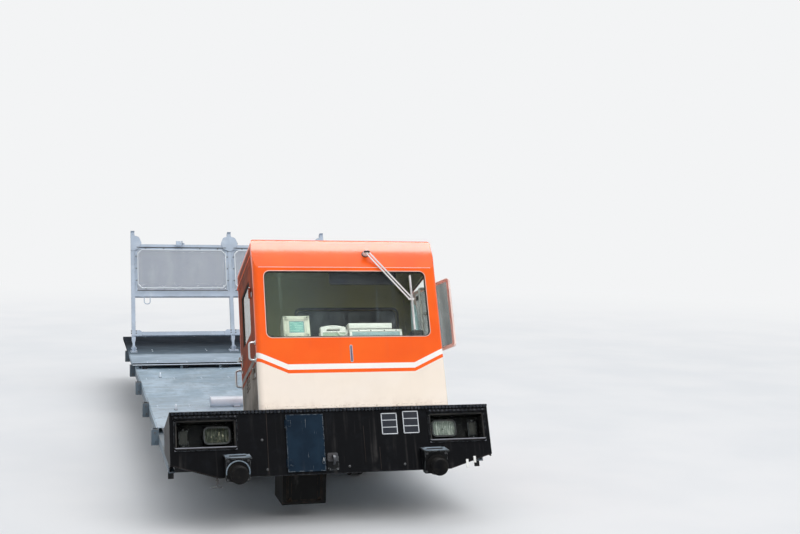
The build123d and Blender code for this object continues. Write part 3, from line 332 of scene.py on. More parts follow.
class Graph:
    """Short words for placing and joining nodes in a tree."""

    def __init__(self, tree):
        self.tree = tree

    def add(self, kind, sockets=None, **settings):
        made = self.tree.nodes.new(kind)
        for key, value in settings.items():
            setattr(made, key, value)
        self.feed(made, sockets or {})
        return made

    def feed(self, node, sockets):
        """Joins values, or the outputs of other nodes, to a node's inputs."""
        for key, value in sockets.items():
            self.join(value, node.inputs[key])

    def join(self, value, socket):
        if isinstance(value, bpy.types.NodeSocket):
            self.tree.links.new(value, socket)
        else:
            socket.default_value = value

    def math(self, operation, first, second=0.0, clamp=False):
        return self.add("ShaderNodeMath", {0: first, 1: second}, operation=operation,
                        use_clamp=clamp).outputs[0]

    def total(self, *values):
        result = values[0]
        for value in values[1:]:
            result = self.math("ADD", result, value)
        return result

    def times(self, *values):
        result = values[0]
        for value in values[1:]:
            result = self.math("MULTIPLY", result, value)
        return result

    def vector(self, operation, first, second=None, out=0):
        made = self.add("ShaderNodeVectorMath", operation=operation)
        self.join(first, made.inputs[0])
        if second is not None:
            self.join(second, made.inputs[1])
        return made.outputs[out]

    def mix(self, share, first, second):
        return self.add("ShaderNodeMix", {0: share, 6: first, 7: second},
                        data_type="RGBA").outputs[2]

    def span(self, value, low, high, start=0.0, end=1.0):
        """start below low and end above high, eased between them."""
        return self.add("ShaderNodeMapRange", {0: value, 1: low, 2: high, 3: start, 4: end},
                        interpolation_type="SMOOTHSTEP").outputs[0]

    def noise(self, place, scale, detail=3.0, rough=0.5):
        return self.add("ShaderNodeTexNoise", {"Vector": place, "Scale": scale, "Detail": detail,
                                               "Roughness": rough}).outputs[0]

    def stretch(self, place, x, y, z):
        return self.add("ShaderNodeMapping", {"Vector": place, "Scale": (x, y, z)}).outputs[0]

    def here(self):
        """The shaded point in the car's own frame."""
        return self.add("ShaderNodeTexCoord").outputs["Object"]

    def facing(self):
        """The way the surface faces, without bumps."""
        return self.add("ShaderNodeNewGeometry").outputs["Normal"]

    def split(self, vector):
        return self.add("ShaderNodeSeparateXYZ", {0: vector}).outputs

    def surface(self, output, share, first, second):
        """Sends the first shader to the output, and the second where share is 1."""
        both = self.add("ShaderNodeMixShader",
                        {0: share, 1: first.outputs[0], 2: second.outputs[0]})
        self.join(both.outputs[0], self.tree.nodes[output].inputs["Surface"])


def node_group(name, inputs, outputs):
    """A new group, its graph, and its input and output nodes."""
    tree = bpy.data.node_groups.new(name, "ShaderNodeTree")
    for label, kind, value in inputs:
        socket = tree.interface.new_socket(label, in_out="INPUT", socket_type="NodeSocket" + kind)
        if value is not None:
            socket.default_value = value
    for label, kind in outputs:
        tree.interface.new_socket(label, in_out="OUTPUT", socket_type="NodeSocket" + kind)
    graph = Graph(tree)
    return tree, graph, graph.add("NodeGroupInput").outputs, graph.add("NodeGroupOutput").inputs


def plumb_place_group():
    """Object coordinates turned to across, level uphill and plumb up."""
    tree, g, _, out = node_group("plumb place", [], [("Place", "Vector"), ("Across", "Float"),
                                                     ("Uphill", "Float"), ("Plumb", "Float")])
    here = g.vector("SUBTRACT", g.here(), tuple(CORNER))
    parts = [g.vector("DOT_PRODUCT", here, tuple(way), out=1) for way in (ACROSS, UPHILL, PLUMB)]
    for socket, part in zip(("Across", "Uphill", "Plumb"), parts):
        g.join(part, out[socket])
    joined = g.add("ShaderNodeCombineXYZ", dict(enumerate(parts)))
    g.join(joined.outputs[0], out["Place"])
    return tree


def edge_group():
    """1 near a sharp outer edge, broken up by noise."""
    tree, g, into, out = node_group(
        "worn edge", [("Place", "Vector", None), ("Reach", "Float", 0.006)], [("Mask", "Float")])
    rounded = g.add("ShaderNodeBevel", {"Radius": into["Reach"]}, samples=4).outputs[0]
    bend = g.math("SUBTRACT", 1.0, g.vector("DOT_PRODUCT", rounded, g.facing(), out=1))
    broken = g.span(g.noise(into["Place"], 34.0, 5.0, 0.65), 0.38, 0.62, 0.0, 1.6)
    g.join(g.math("MULTIPLY", g.span(bend, 0.02, 0.16), broken, clamp=True), out["Mask"])
    return tree


def weather_group():
    """Old paint: faded, chipped to primer and rust, streaked and dusty."""
    tree, g, into, out = node_group(
        "weathered paint",
        [("Place", "Vector", None), ("Paint", "Color", (0.5, 0.5, 0.5, 1)),
         ("Under", "Color", (0.2, 0.2, 0.2, 1)), ("Dust", "Color", tint(150, 142, 128)),
         ("Chips", "Float", 0.3), ("Edge", "Float", 0.0), ("Streaks", "Float", 0.3),
         ("Grime", "Float", 0.3), ("Gloss", "Float", 0.3), ("Fade", "Float", 0.13)],
        [("Colour", "Color"), ("Roughness", "Float"), ("Height", "Float")])
    place = into["Place"]
    cloud = g.span(g.noise(place, 1.7, 4.0, 0.6), 0.3, 0.7, -1.0, 1.0)
    fade = g.math("ADD", 1.0, g.times(cloud, into["Fade"]))
    paint = g.vector("SCALE", into["Paint"])
    g.join(fade, paint.node.inputs["Scale"])
    flecks = g.noise(place, 46.0, 7.0, 0.68)
    patches = g.noise(place, 5.5, 3.0, 0.55)
    # Chips where fine and broad noise meet, most at the edges, each in a halo of rust
    reach = g.total(flecks, g.times(patches, 0.35), g.times(into["Edge"], 0.45))
    start = g.math("SUBTRACT", 1.02, g.times(into["Chips"], 0.3))
    chip = g.span(reach, start, g.math("ADD", start, 0.03))
    halo = g.span(reach, g.math("SUBTRACT", start, 0.05), g.math("ADD", start, 0.02))
    rust = g.mix(g.span(g.noise(place, 90.0, 3.0), 0.4, 0.6), tint(96, 52, 30), tint(58, 38, 30))
    # Dirt that ran down, and dust that lies where a face looks up
    runs = g.noise(g.stretch(place, 17.0, 17.0, 0.8), 1.0, 4.0, 0.6)
    runs = g.times(g.span(runs, 0.52, 0.78), g.span(patches, 0.35, 0.6), into["Streaks"])
    up = g.vector("DOT_PRODUCT", g.facing(), tuple(PLUMB), out=1)
    lying = g.span(up, 0.55, 0.95, 0.25, 1.0)
    dirt = g.times(g.span(g.noise(place, 7.0, 6.0, 0.7), 0.36, 0.72), lying, into["Grime"])
    colour = g.mix(g.times(dirt, 0.85), paint, into["Dust"])
    run_off = g.mix(0.5, tint(74, 58, 46), tint(150, 150, 150))
    colour = g.mix(g.times(runs, 0.75), colour, run_off)
    colour = g.mix(g.times(halo, 0.6), colour, rust)
    colour = g.mix(chip, colour, into["Under"])
    g.join(colour, out["Colour"])
    g.join(g.math("ADD", into["Gloss"], g.total(g.times(dirt, 0.35), g.times(runs, 0.2),
                                                g.times(chip, 0.3), g.times(flecks, 0.06)),
                  clamp=True), out["Roughness"])
    peel = g.times(g.noise(place, 420.0, 2.0), 0.12)
    g.join(g.math("SUBTRACT", peel, chip), out["Height"])
    return tree


def tread_group():
    """Raised lozenges of a chequered plate, in the deck's plane."""
    tree, g, into, out = node_group("chequer", [("Pitch", "Float", 0.045)], [("Height", "Float")])
    split = g.split(g.here())
    cells = [g.math("DIVIDE", split[i], into["Pitch"]) for i in (0, 1)]
    corner = g.total(*[g.math("FLOOR", c) for c in cells])
    odd = g.math("MODULO", g.math("ABSOLUTE", corner), 2.0)
    local = [g.math("SUBTRACT", g.math("FRACT", c), 0.5) for c in cells]
    along = g.times(g.math("ADD", *local), 0.707)
    across = g.times(g.math("SUBTRACT", *local), 0.707)
    swap = g.math("GREATER_THAN", odd, 0.5)
    keep = g.math("SUBTRACT", 1.0, swap)
    # Each cell holds one lozenge at 45 degrees, every other one turned across
    long_way = g.total(g.times(along, swap), g.times(across, keep))
    short_way = g.total(g.times(across, swap), g.times(along, keep))
    reach = g.total(*[g.math("POWER", g.math("DIVIDE", way, half), 2.0)
                      for way, half in ((long_way, 0.44), (short_way, 0.13))])
    g.join(g.span(reach, 0.5, 1.1, 1.0, 0.0), out["Height"])
    return tree


PLACE, EDGE = plumb_place_group(), edge_group()
WEATHER, TREAD = weather_group(), tread_group()


def use(graph, tree, sockets=None):
    return graph.add("ShaderNodeGroup", sockets, node_tree=tree).outputs


def finish(name):
    """A new material: its graph and its main shader."""
    material = bpy.data.materials.new(name)
    material.use_nodes = True
    graph = Graph(material.node_tree)
    return material, graph, material.node_tree.nodes["Principled BSDF"]


def bump(graph, shader, height, strength, distance):
    made = graph.add("ShaderNodeBump",
                     {"Height": height, "Strength": strength, "Distance": distance})
    graph.join(made.outputs["Normal"], shader.inputs["Normal"])


def painted(name, colour, under, chips, streaks, grime, gloss, edge=1.0, reach=0.006, coat=0.0,
            dust=(150, 142, 128), shade=None, relief=None, shine=0.5, fade=0.13, waves=0.0):
    """Weathered paint. shade and relief may change its colour and add a form."""
    material, g, shader = finish(name)
    where = use(g, PLACE)
    worn = use(g, EDGE, {"Place": where["Place"], "Reach": reach})["Mask"] if edge else 0.0
    old = use(g, WEATHER, {
        "Place": where["Place"], "Paint": shade(g, where) if shade else tint(*colour),
        "Under": tint(*under), "Dust": tint(*dust), "Chips": chips,
        "Edge": g.times(worn, edge) if edge else 0.0, "Streaks": streaks, "Grime": grime,
        "Gloss": gloss, "Fade": fade})
    height = old["Height"]
    if relief:
        height = g.total(height, relief(g))
    if waves:
        height = g.total(height, g.times(g.noise(where["Place"], 2.6, 1.0), waves))
    g.feed(shader, {"Base Color": old["Colour"], "Roughness": old["Roughness"],
                    "Coat Weight": coat, "Coat Roughness": 0.045, "Specular IOR Level": shine})
    bump(g, shader, height, 0.35, 0.0012)
    return material


def bare(name, colour, rough, metallic, grain, dirt, stain, scratches=0.25):
    """Bare or cast metal, with its grain along one way, and stains."""
    material, g, shader = finish(name)
    here = g.here()
    lines = g.noise(g.stretch(here, *grain), 22.0, 4.0, 0.6)
    stains = g.span(g.noise(here, 9.0, 6.0, 0.7), 0.45, 0.75)
    tone = g.mix(g.times(lines, scratches * 2), tint(*colour), tint(*[c * 0.62 for c in colour]))
    g.feed(shader, {
        "Base Color": g.mix(g.times(stains, dirt), tone, tint(*stain)),
        "Roughness": g.total(rough, g.times(lines, 0.18), g.times(stains, dirt * 0.6)),
        "Metallic": g.math("SUBTRACT", metallic, g.times(stains, dirt * metallic))})
    bump(g, shader, g.total(lines, g.noise(here, 160.0, 3.0)), 0.2, 0.0006)
    return material


def moulded(name, colour, rough, grain, fade, dirt, shine=0.5):
    """Plastic or rubber, finely grained, with dust in its colour."""
    material, g, shader = finish(name)
    here = g.here()
    cloud = g.noise(here, 6.0, 5.0, 0.65)
    tone = g.mix(g.span(cloud, 0.3, 0.7, 0.0, fade), tint(*colour), tint(150, 145, 132))
    dusty = g.times(g.span(g.noise(here, 21.0, 6.0, 0.7), 0.5, 0.75), dirt)
    g.feed(shader, {"Base Color": g.mix(dusty, tone, tint(118, 108, 94)),
                    "Roughness": g.total(rough, g.times(dusty, 0.4), g.times(cloud, 0.08)),
                    "Specular IOR Level": shine})
    bump(g, shader, g.noise(here, grain, 2.0), 0.15, 0.0006)
    return material


def clear(name, colour, rough=0.02, haze=0.0, bend=1.45, smears=0.35):
    """Glass or clear plastic, smeared, that lets daylight through to what it covers."""
    material, g, shader = finish(name)
    smear = g.noise(g.stretch(use(g, PLACE)["Place"], 3.0, 3.0, 0.7), 2.2, 5.0, 0.65)
    g.feed(shader, {
        "Base Color": g.mix(g.span(smear, 0.35, 0.75, 0.0, smears + haze), tint(*colour),
                            tint(222, 226, 224)),
        "Roughness": g.span(smear, 0.4, 0.8, rough, rough + 0.1 + haze),
        "Transmission Weight": 1.0 - haze, "IOR": bend})
    through = g.add("ShaderNodeBsdfTransparent", {"Color": tint(*paler(colour, 8))})
    g.surface("Material Output", g.add("ShaderNodeLightPath").outputs["Is Shadow Ray"],
              shader, through)
    return material


# The finishes of this car
def stripe_shade(g, where):
    """Orange over cream with a white stripe, and inside an olive lining whose darkness is partly
    painted shade.
    """
    x, h, w = where["Across"], where["Uphill"], where["Plumb"]
    # The stripe's lower edge is level in the middle and rises towards both ends
    left = g.math("MAXIMUM", g.math("SUBTRACT", -0.35, x), 0.0)
    right = g.math("MAXIMUM", g.math("SUBTRACT", x, 0.722), 0.0)
    low = g.total(0.329, g.times(left, 0.444), g.times(right, 0.470))
    rise = g.math("SUBTRACT", w, low)
    above = g.math("GREATER_THAN", rise, -0.030)
    white = g.times(g.math("GREATER_THAN", rise, 0.0), g.math("LESS_THAN", rise, 0.046))
    cloud = g.noise(where["Place"], 2.4, 3.0)
    orange = g.mix(g.span(cloud, 0.35, 0.65), tint(250, 92, 8), tint(254, 100, 12))
    cream = g.mix(g.span(cloud, 0.35, 0.65), tint(246, 233, 219), tint(243, 229, 213))
    splashes = g.span(g.noise(where["Place"], 16.0, 6.0, 0.7), 0.42, 0.7)
    foot = g.times(g.span(w, 0.11, -0.02), splashes)
    cream = g.mix(g.times(foot, 0.25), cream, tint(150, 110, 80))
    outside = g.mix(white, g.mix(above, cream, orange), tint(248, 244, 238))
    # Inside is between the walls, behind the folded front and below the roof
    from_middle = g.math("ABSOLUTE", g.math("SUBTRACT", x, CAB_X))
    over_fold = g.math("MAXIMUM", g.math("SUBTRACT", w, 1.22), 0.0)
    from_front = g.math("SUBTRACT", h, g.times(over_fold, 0.315))
    inside = g.times(g.math("LESS_THAN", from_middle, 0.775),
                     g.math("GREATER_THAN", from_front, 0.018),
                     g.math("LESS_THAN", h, 0.962), g.math("LESS_THAN", w, 1.49))
    # The lining's dark olive is its beige, partly darkened with painted shade.
    shaded_lining = g.mix(g.span(cloud, 0.3, 0.7), tint(134, 131, 90), tint(150, 146, 104))
    return g.mix(inside, outside, shaded_lining)


def flank_painted_shade(g, where):
    """The same stripes under a grey-brown film of painted shade, as the flank stands in shadow."""
    shadow_film = g.span(g.noise(where["Place"], 3.2, 5.0, 0.6), 0.3, 0.7, 0.68, 0.88)
    return g.mix(shadow_film, stripe_shade(g, where), tint(62, 60, 57))


def scuffed(base, pale, dark, amount=0.6):
    """Sheet scuffed paler in broad patches and along the way the loads slide, and paler towards
    its lower end as painted light.
    """
    def shade(g, where):
        here = g.here()
        broad = g.span(g.noise(g.stretch(here, 1.6, 0.8, 1.0), 1.5, 5.0, 0.62), 0.44, 0.62)
        drag = g.span(g.noise(g.stretch(here, 1.2, 14.0, 1.0), 2.0, 6.0, 0.7), 0.52, 0.68)
        spots = g.span(g.noise(here, 11.0, 5.0, 0.7), 0.56, 0.66)
        tone = g.mix(g.times(broad, amount), tint(*base), tint(*pale))
        tone = g.mix(g.times(drag, 0.55), tone, tint(*paler(pale, 24)))
        # Paler towards the lower end: painted light.
        lit_lower_end = g.span(g.split(here)[1], -0.2, -3.2, 0.0, 0.9)
        tone = g.mix(lit_lower_end, tone, tint(*paler(pale, 24)))
        return g.mix(g.times(spots, 0.5), tone, tint(*dark))
    return shade


def raised_shade(g, _):
    """A pale worn strip along the nosing and darker tread behind it, the tread darkening further
    uphill with painted shade; the nosing's front face is painted dark, painted shade for the gap
    there.
    """
    here = g.here()
    y = g.split(here)[1]
    ragged = g.noise(g.stretch(here, 2.0, 9.0, 1.0), 2.0, 5.0, 0.7)
    behind = g.span(g.total(y, g.times(ragged, -0.32)), 1.76, 1.96)
    # Below 1.1985 the nosing's front face is painted dark: painted shade for the gap under the
    # sheet's edge.
    front = g.span(y, 1.1995, 1.1985)
    worn = g.span(g.noise(g.stretch(here, 1.0, 6.0, 1.0), 3.0, 5.0, 0.65), 0.4, 0.7)
    strip = g.mix(worn, tint(162, 177, 190), tint(186, 198, 209))
    # From 2.0 uphill to 3.35 the tread darkens: painted shade.
    tread = g.mix(g.span(y, 2.0, 3.35), g.mix(worn, tint(92, 104, 114), tint(118, 131, 142)),
                  g.mix(worn, tint(42, 46, 52), tint(58, 64, 71)))
    return g.mix(front, g.mix(behind, strip, tread), tint(34, 38, 44))


def raised_relief(g):
    """The tread's lozenges, which stop short of the nosing."""
    behind = g.span(g.split(g.here())[1], 1.323, 1.326)
    return g.times(use(g, TREAD, {"Pitch": 0.05})["Height"], behind, 1.6)


def cover_shade(g, where):
    """Slate paint with pale rubbed scratches down its middle."""
    fine = g.noise(g.stretch(where["Place"], 60.0, 1.0, 2.2), 2.0, 5.0, 0.6)
    middle = g.times(g.span(where["Across"], -0.30, -0.25), g.span(where["Across"], -0.13, -0.19))
    scratch = g.times(g.span(fine, 0.64, 0.70), middle)
    cloud = g.span(g.noise(where["Place"], 5.0, 4.0, 0.6), 0.35, 0.65)
    tone = g.mix(cloud, tint(12, 28, 42), tint(19, 37, 52))
    return g.mix(g.times(scratch, 0.8), tone, tint(196, 204, 208))


def rubbed(base, pale, reach=0.5):
    """Dark paint rubbed paler in places."""
    def shade(g, where):
        rub = g.span(g.noise(where["Place"], 8.0, 6.0, 0.68), 0.5, 0.72)
        return g.mix(g.times(rub, reach), tint(*base), tint(*pale))
    return shade


def cloth(name, colour, thread):
    """A coarse woven seat cloth."""
    material, g, shader = finish(name)
    place = use(g, PLACE)["Place"]
    split = g.split(place)
    warp = g.math("SINE", g.times(split[0], 2600.0))
    weft = g.math("SINE", g.times(g.total(split[1], split[2]), 2600.0))
    weave = g.times(warp, weft)
    worn = g.span(g.noise(place, 14.0, 5.0, 0.65), 0.4, 0.7)
    tone = g.mix(g.span(weave, -0.4, 0.6), tint(*thread), tint(*colour))
    g.feed(shader, {"Base Color": g.mix(g.times(worn, 0.3), tone, tint(112, 116, 130)),
                    "Roughness": 0.9, "Sheen Weight": 0.35})
    bump(g, shader, weave, 0.4, 0.0006)
    return material


def smeared(name):
    """Rain streaks and dust on glass, thicker towards its left."""
    material, g, shader = finish(name)
    where = use(g, PLACE)
    runs = g.noise(g.stretch(where["Place"], 9.0, 1.0, 0.8), 1.6, 4.0, 0.55)
    broad = g.noise(g.stretch(where["Place"], 2.2, 1.0, 0.7), 1.5, 2.0, 0.5)
    left = g.span(where["Across"], 0.25, -0.50)
    cover = g.total(g.times(left, 0.07), g.times(g.span(broad, 0.5, 0.75), 0.03),
                    g.times(g.span(runs, 0.58, 0.76), 0.11))
    g.feed(shader, {"Base Color": g.mix(left, tint(168, 188, 204), tint(150, 172, 156)),
                    "Alpha": cover, "Roughness": 0.9, "Specular IOR Level": 0.0})
    return material


def screen_glass(name):
    """A dim green-blue display with pale generic bars."""
    material, g, shader = finish(name)
    where = use(g, PLACE)
    rows = g.math("SINE", g.times(where["Plumb"], 420.0))
    marks = g.noise(g.stretch(where["Place"], 30.0, 1.0, 60.0), 1.0, 1.0)
    bars = g.times(g.span(rows, 0.2, 0.5), g.span(marks, 0.46, 0.52))
    tone = g.mix(g.times(bars, 0.55), tint(122, 176, 168), tint(196, 232, 220))
    g.feed(shader, {"Base Color": tone, "Emission Color": tone, "Emission Strength": 0.45,
                    "Roughness": 0.16})
    return material


def fluted_mirror(name, bowl_tone, glint_colour, share):
    """A lamp's bowl: upright flutes, its colour carrying painted glints in bands and spots."""
    material, g, shader = finish(name)
    where = use(g, PLACE)
    bands = g.noise(g.stretch(where["Place"], 42.0, 1.0, 7.0), 1.0, 2.0, 0.5)
    spots = g.noise(g.stretch(where["Place"], 34.0, 1.0, 22.0), 2.0, 2.0, 0.5)
    # Painted highlights: glints in the colour, along the flutes and in spots.
    painted_glints = g.total(g.times(g.span(bands, 0.50, 0.68), share),
                  g.times(g.span(spots, 0.62, 0.74), 0.8))
    g.feed(shader, {
        "Base Color": g.mix(g.math("MINIMUM", painted_glints, 1.0), tint(*bowl_tone), tint(*glint_colour)),
        "Metallic": 0.5, "Roughness": 0.42})
    bump(g, shader, g.math("SINE", g.times(where["Across"], 330.0)), 0.6, 0.003)
    return material


black = painted("headstock_black", (12, 13, 16), (84, 88, 92), 0.24, 0.22, 0.08, 0.4,
                shade=rubbed((8, 9, 12), (20, 22, 26), 0.6), dust=(52, 54, 56), shine=0.07)
orange = painted("cab_orange", (240, 88, 34), (96, 60, 44), 0.05, 0.04, 0.0, 0.3,
                 coat=0.5, shade=stripe_shade, dust=(170, 160, 146), shine=0.05, fade=0.03,
                 waves=5.0)
# The left flank and door: the stripes under a film of painted shade, with dust.
shaded_flank_orange = painted("cab_flank_shaded", (200, 76, 34), (96, 60, 44), 0.12, 0.25, 0.2, 0.72,
                       shade=flank_painted_shade, dust=(120, 104, 84), shine=0.08, fade=0.06)
deck_grey = painted("deck_grey", (150, 165, 177), (96, 92, 88), 0.36, 0.12, 0.28, 0.46,
                    shade=scuffed((126, 150, 167), (172, 192, 207), (102, 120, 135), 0.75))
tread_grey = painted("tread_grey", (104, 116, 128), (86, 82, 78), 0.34, 0.1, 0.05, 0.62,
                     shade=raised_shade, relief=raised_relief, shine=0.0)
frame_dark = painted("frame_dark", (30, 33, 36), (74, 54, 42), 0.45, 0.35, 0.35, 0.55,
                     shade=rubbed((26, 29, 32), (50, 52, 54)), dust=(92, 80, 68), shine=0.2)
sill_grey = painted("sill_grey", (92, 108, 120), (92, 74, 60), 0.45, 0.4, 0.35, 0.5,
                    shade=rubbed((88, 104, 116), (128, 142, 152)))
gate_grey = painted("gate_grey", (170, 180, 194), (96, 84, 74), 0.3, 0.25, 0.15, 0.5,
                    shade=rubbed((174, 187, 202), (200, 210, 219)), shine=0.12)
gate_line = painted("gate_line", (190, 199, 206), (96, 84, 74), 0.3, 0.25, 0.15, 0.4, edge=0)
slate = painted("cover_slate", (30, 44, 58), (120, 128, 134), 0.2, 0.1, 0.04, 0.4,
                dust=(80, 86, 90), shade=cover_shade, shine=0.08)
bracket_black = painted("bracket_black", (18, 20, 23), (128, 132, 134), 0.5, 0.2, 0.12, 0.4,
                        shade=rubbed((12, 14, 16), (44, 47, 51), 0.7), dust=(70, 70, 70),
                        shine=0.15)
case_dark = painted("case_dark", (18, 20, 21), (76, 62, 50), 0.35, 0.3, 0.25, 0.5,
                    shade=rubbed((10, 11, 12), (26, 28, 28)), dust=(56, 52, 46), shine=0.1)
seat_black = painted("seat_black", (30, 31, 34), (96, 96, 96), 0.3, 0.1, 0.2, 0.4)
pale_paint = painted("wiper_white", (226, 221, 219), (120, 116, 112), 0.3, 0.15, 0.12, 0.3,
                     reach=0.002)
seam_brown = painted("seam_brown", (40, 34, 32), (70, 60, 54), 0.3, 0.2, 0.1, 0.6, edge=0,
                     shine=0.1)
tab_white = painted("tab_white", (228, 228, 224), (120, 108, 96), 0.4, 0.4, 0.15, 0.4)
cream_metal = painted("sash_edge", (238, 218, 210), (190, 120, 90), 0.3, 0.2, 0.10, 0.35,
                      edge=0.2, reach=0.002)
trim_pink = painted("screen_trim", (232, 188, 170), (190, 110, 80), 0.3, 0.1, 0.05, 0.35, edge=0)
pale_strip_grey = painted("pale_strip_grey", (120, 138, 150), (176, 186, 194), 0.6, 0.2, 0.1, 0.5,
                    shade=rubbed((124, 142, 156), (188, 202, 212), 0.9), dust=(128, 136, 142))
# The teeth's lighter grey and paler patches are painted highlight on their faces.
lit_tooth_grey = painted("lit_tooth_grey", (30, 36, 44), (120, 122, 124), 0.5, 0.2, 0.1, 0.4,
                     shade=rubbed((28, 33, 41), (66, 72, 82), 0.8), dust=(66, 66, 68), shine=0.1)
lamp_bar = painted("lamp_bar", (150, 152, 162), (90, 86, 84), 0.4, 0.3, 0.15, 0.35, reach=0.002)
plate_pale = painted("plate_border", (206, 210, 214), (90, 90, 92), 0.35, 0.25, 0.1, 0.35,
                     reach=0.002)
plate_dark = painted("plate_field", (36, 40, 48), (120, 122, 124), 0.3, 0.25, 0.1, 0.35, edge=0,
                     shine=0.2)

galvanised = bare("galvanised", (234, 244, 254), 0.4, 0.0, (60.0, 1.0, 1.0), 0.12,
                  (96, 92, 84), 0.1)
pale_steel = bare("pale_steel", (196, 200, 202), 0.3, 0.85, (1.0, 1.0, 40.0), 0.2, (110, 98, 84))
fixings = bare("dark_fixings", (92, 94, 96), 0.42, 0.8, (1.0, 1.0, 1.0), 0.45, (70, 52, 42))
iron = bare("cast_iron", (70, 70, 72), 0.55, 0.6, (1.0, 1.0, 1.0), 0.55, (72, 52, 40))
forged = bare("forged_hook", (74, 76, 80), 0.42, 0.8, (1.0, 1.0, 12.0), 0.4, (64, 50, 42))
wheel_iron = bare("wheel_steel", (112, 110, 108), 0.4, 0.85, (60.0, 1.0, 1.0), 0.6, (84, 62, 48))
chrome = bare("chrome", (206, 210, 206), 0.12, 1.0, (1.0, 1.0, 1.0), 0.15, (120, 116, 104), 0.1)
# The left bowl is painted darker, as painted shade, and the right paler with more glints, as
# painted light.
reflectors = {-1: fluted_mirror("left_reflector_shaded", (78, 82, 75), (240, 228, 200), 0.10),
              1: fluted_mirror("right_reflector_lit", (166, 173, 168), (255, 255, 252), 0.9)}

rubber = moulded("buffer_rubber", (9, 10, 13), 0.55, 160.0, 0.03, 0.06, 0.08)
seal_rubber = moulded("seal_rubber", (22, 23, 25), 0.55, 300.0, 0.12, 0.2, 0.25)
spring_rubber = moulded("spring_rubber", (34, 34, 35), 0.66, 120.0, 0.3, 0.6, 0.25)
black_plastic = moulded("black_plastic", (24, 25, 27), 0.4, 300.0, 0.1, 0.15, 0.3)
desk_grey = moulded("desk_laminate", (184, 190, 180), 0.42, 240.0, 0.2, 0.15)
monitor_cream = moulded("monitor_cream", (240, 237, 220), 0.5, 380.0, 0.05, 0.1)
console_cream = moulded("console_cream", (246, 242, 238), 0.5, 380.0, 0.04, 0.06)
panel_blue = moulded("console_panel", (158, 184, 190), 0.45, 380.0, 0.1, 0.1)
panel_green = moulded("phone_panel", (188, 204, 182), 0.45, 380.0, 0.1, 0.1)
phone_white = moulded("phone_white", (250, 246, 242), 0.35, 500.0, 0.04, 0.04)
visor_blue = moulded("visor_blue", (22, 28, 44), 0.35, 300.0, 0.1, 0.1, 0.3)
lamp_black = moulded("lamp_housing", (27, 29, 32), 0.85, 900.0, 0.04, 0.08, 0.03)
slot_violet = moulded("slot_violet", (92, 84, 112), 0.4, 300.0, 0.15, 0.1)
side_lamp = moulded("side_lamp", (42, 45, 46), 0.35, 90.0, 0.1, 0.1, 0.2)
amber = moulded("amber_cap", (214, 132, 40), 0.25, 400.0, 0.05, 0.05)
red_cap = moulded("red_cap", (186, 40, 34), 0.25, 400.0, 0.05, 0.05)
green_cap = moulded("green_cap", (60, 142, 84), 0.25, 400.0, 0.05, 0.05)
seat_cloth = cloth("seat_cloth", (58, 70, 104), (10, 12, 20))
display = screen_glass("display")
smear_film = smeared("glass_smears")
# A smoked film on the rear window, most of its darkness painted shade.
rear_shade_film = clear("rear_shade_film", (12, 20, 28), 0.1, smears=0.15)
window_glass = clear("window_glass", (236, 242, 238), bend=1.28)
sash_glass = clear("sash_glass", (130, 134, 132), 0.03, 0.05, bend=1.3)
lamp_glass = clear("lamp_pane", (244, 246, 244), 0.03, 0.0, bend=1.05)
lens_glass = clear("lamp_lens", (244, 246, 244), 0.04, 0.0, bend=1.05)
gate_pane = clear("gate_pane", (166, 172, 182), 0.04, 0.10, bend=1.08, smears=0.08)

FINISHES = {
    "headstock_paint": black, "cab_paint": orange, "deck_paint": deck_grey,
    "raised_deck_paint": tread_grey, "frame_paint": frame_dark, "sill_paint": sill_grey,
    "gate_paint": gate_grey, "tube_steel": galvanised, "eye_steel": galvanised,
    "cover_paint": slate, "hook_iron": forged, "buffer_rubber": rubber,
    "bracket_paint": bracket_black, "lamp_shell": lamp_black, "lamp_glass": lamp_glass,
    "window_glass": window_glass, "pane_plastic": gate_pane, "wheel_steel": wheel_iron,
    "axle_steel": wheel_iron, "box_iron": iron, "brake_iron": iron,
    "spring_rubber": spring_rubber, "case_paint": case_dark, "desk_top": desk_grey,
    "monitor_shell": monitor_cream, "console_shell": console_cream,
    "phone_plastic": phone_white, "visor_plastic": visor_blue, "seat_steel": seat_black,
    "seat_cover": seat_cloth, "wiper_metal": pale_paint, "grip_metal": pale_steel,
    "handle_chrome": chrome,
}
for part in frame["record"]["subparts"]:
    thing = nodes[part["node"]]
    thing.data.materials.clear()
    thing.data.materials.append(FINISHES[part["material_slot"]])
for name, own in (("cab_left_side", shaded_flank_orange), ("cab_door", shaded_flank_orange),
                  ("side_window_pane", sash_glass), ("side_window_frame", cream_metal)):
    nodes[name].data.materials[0] = own


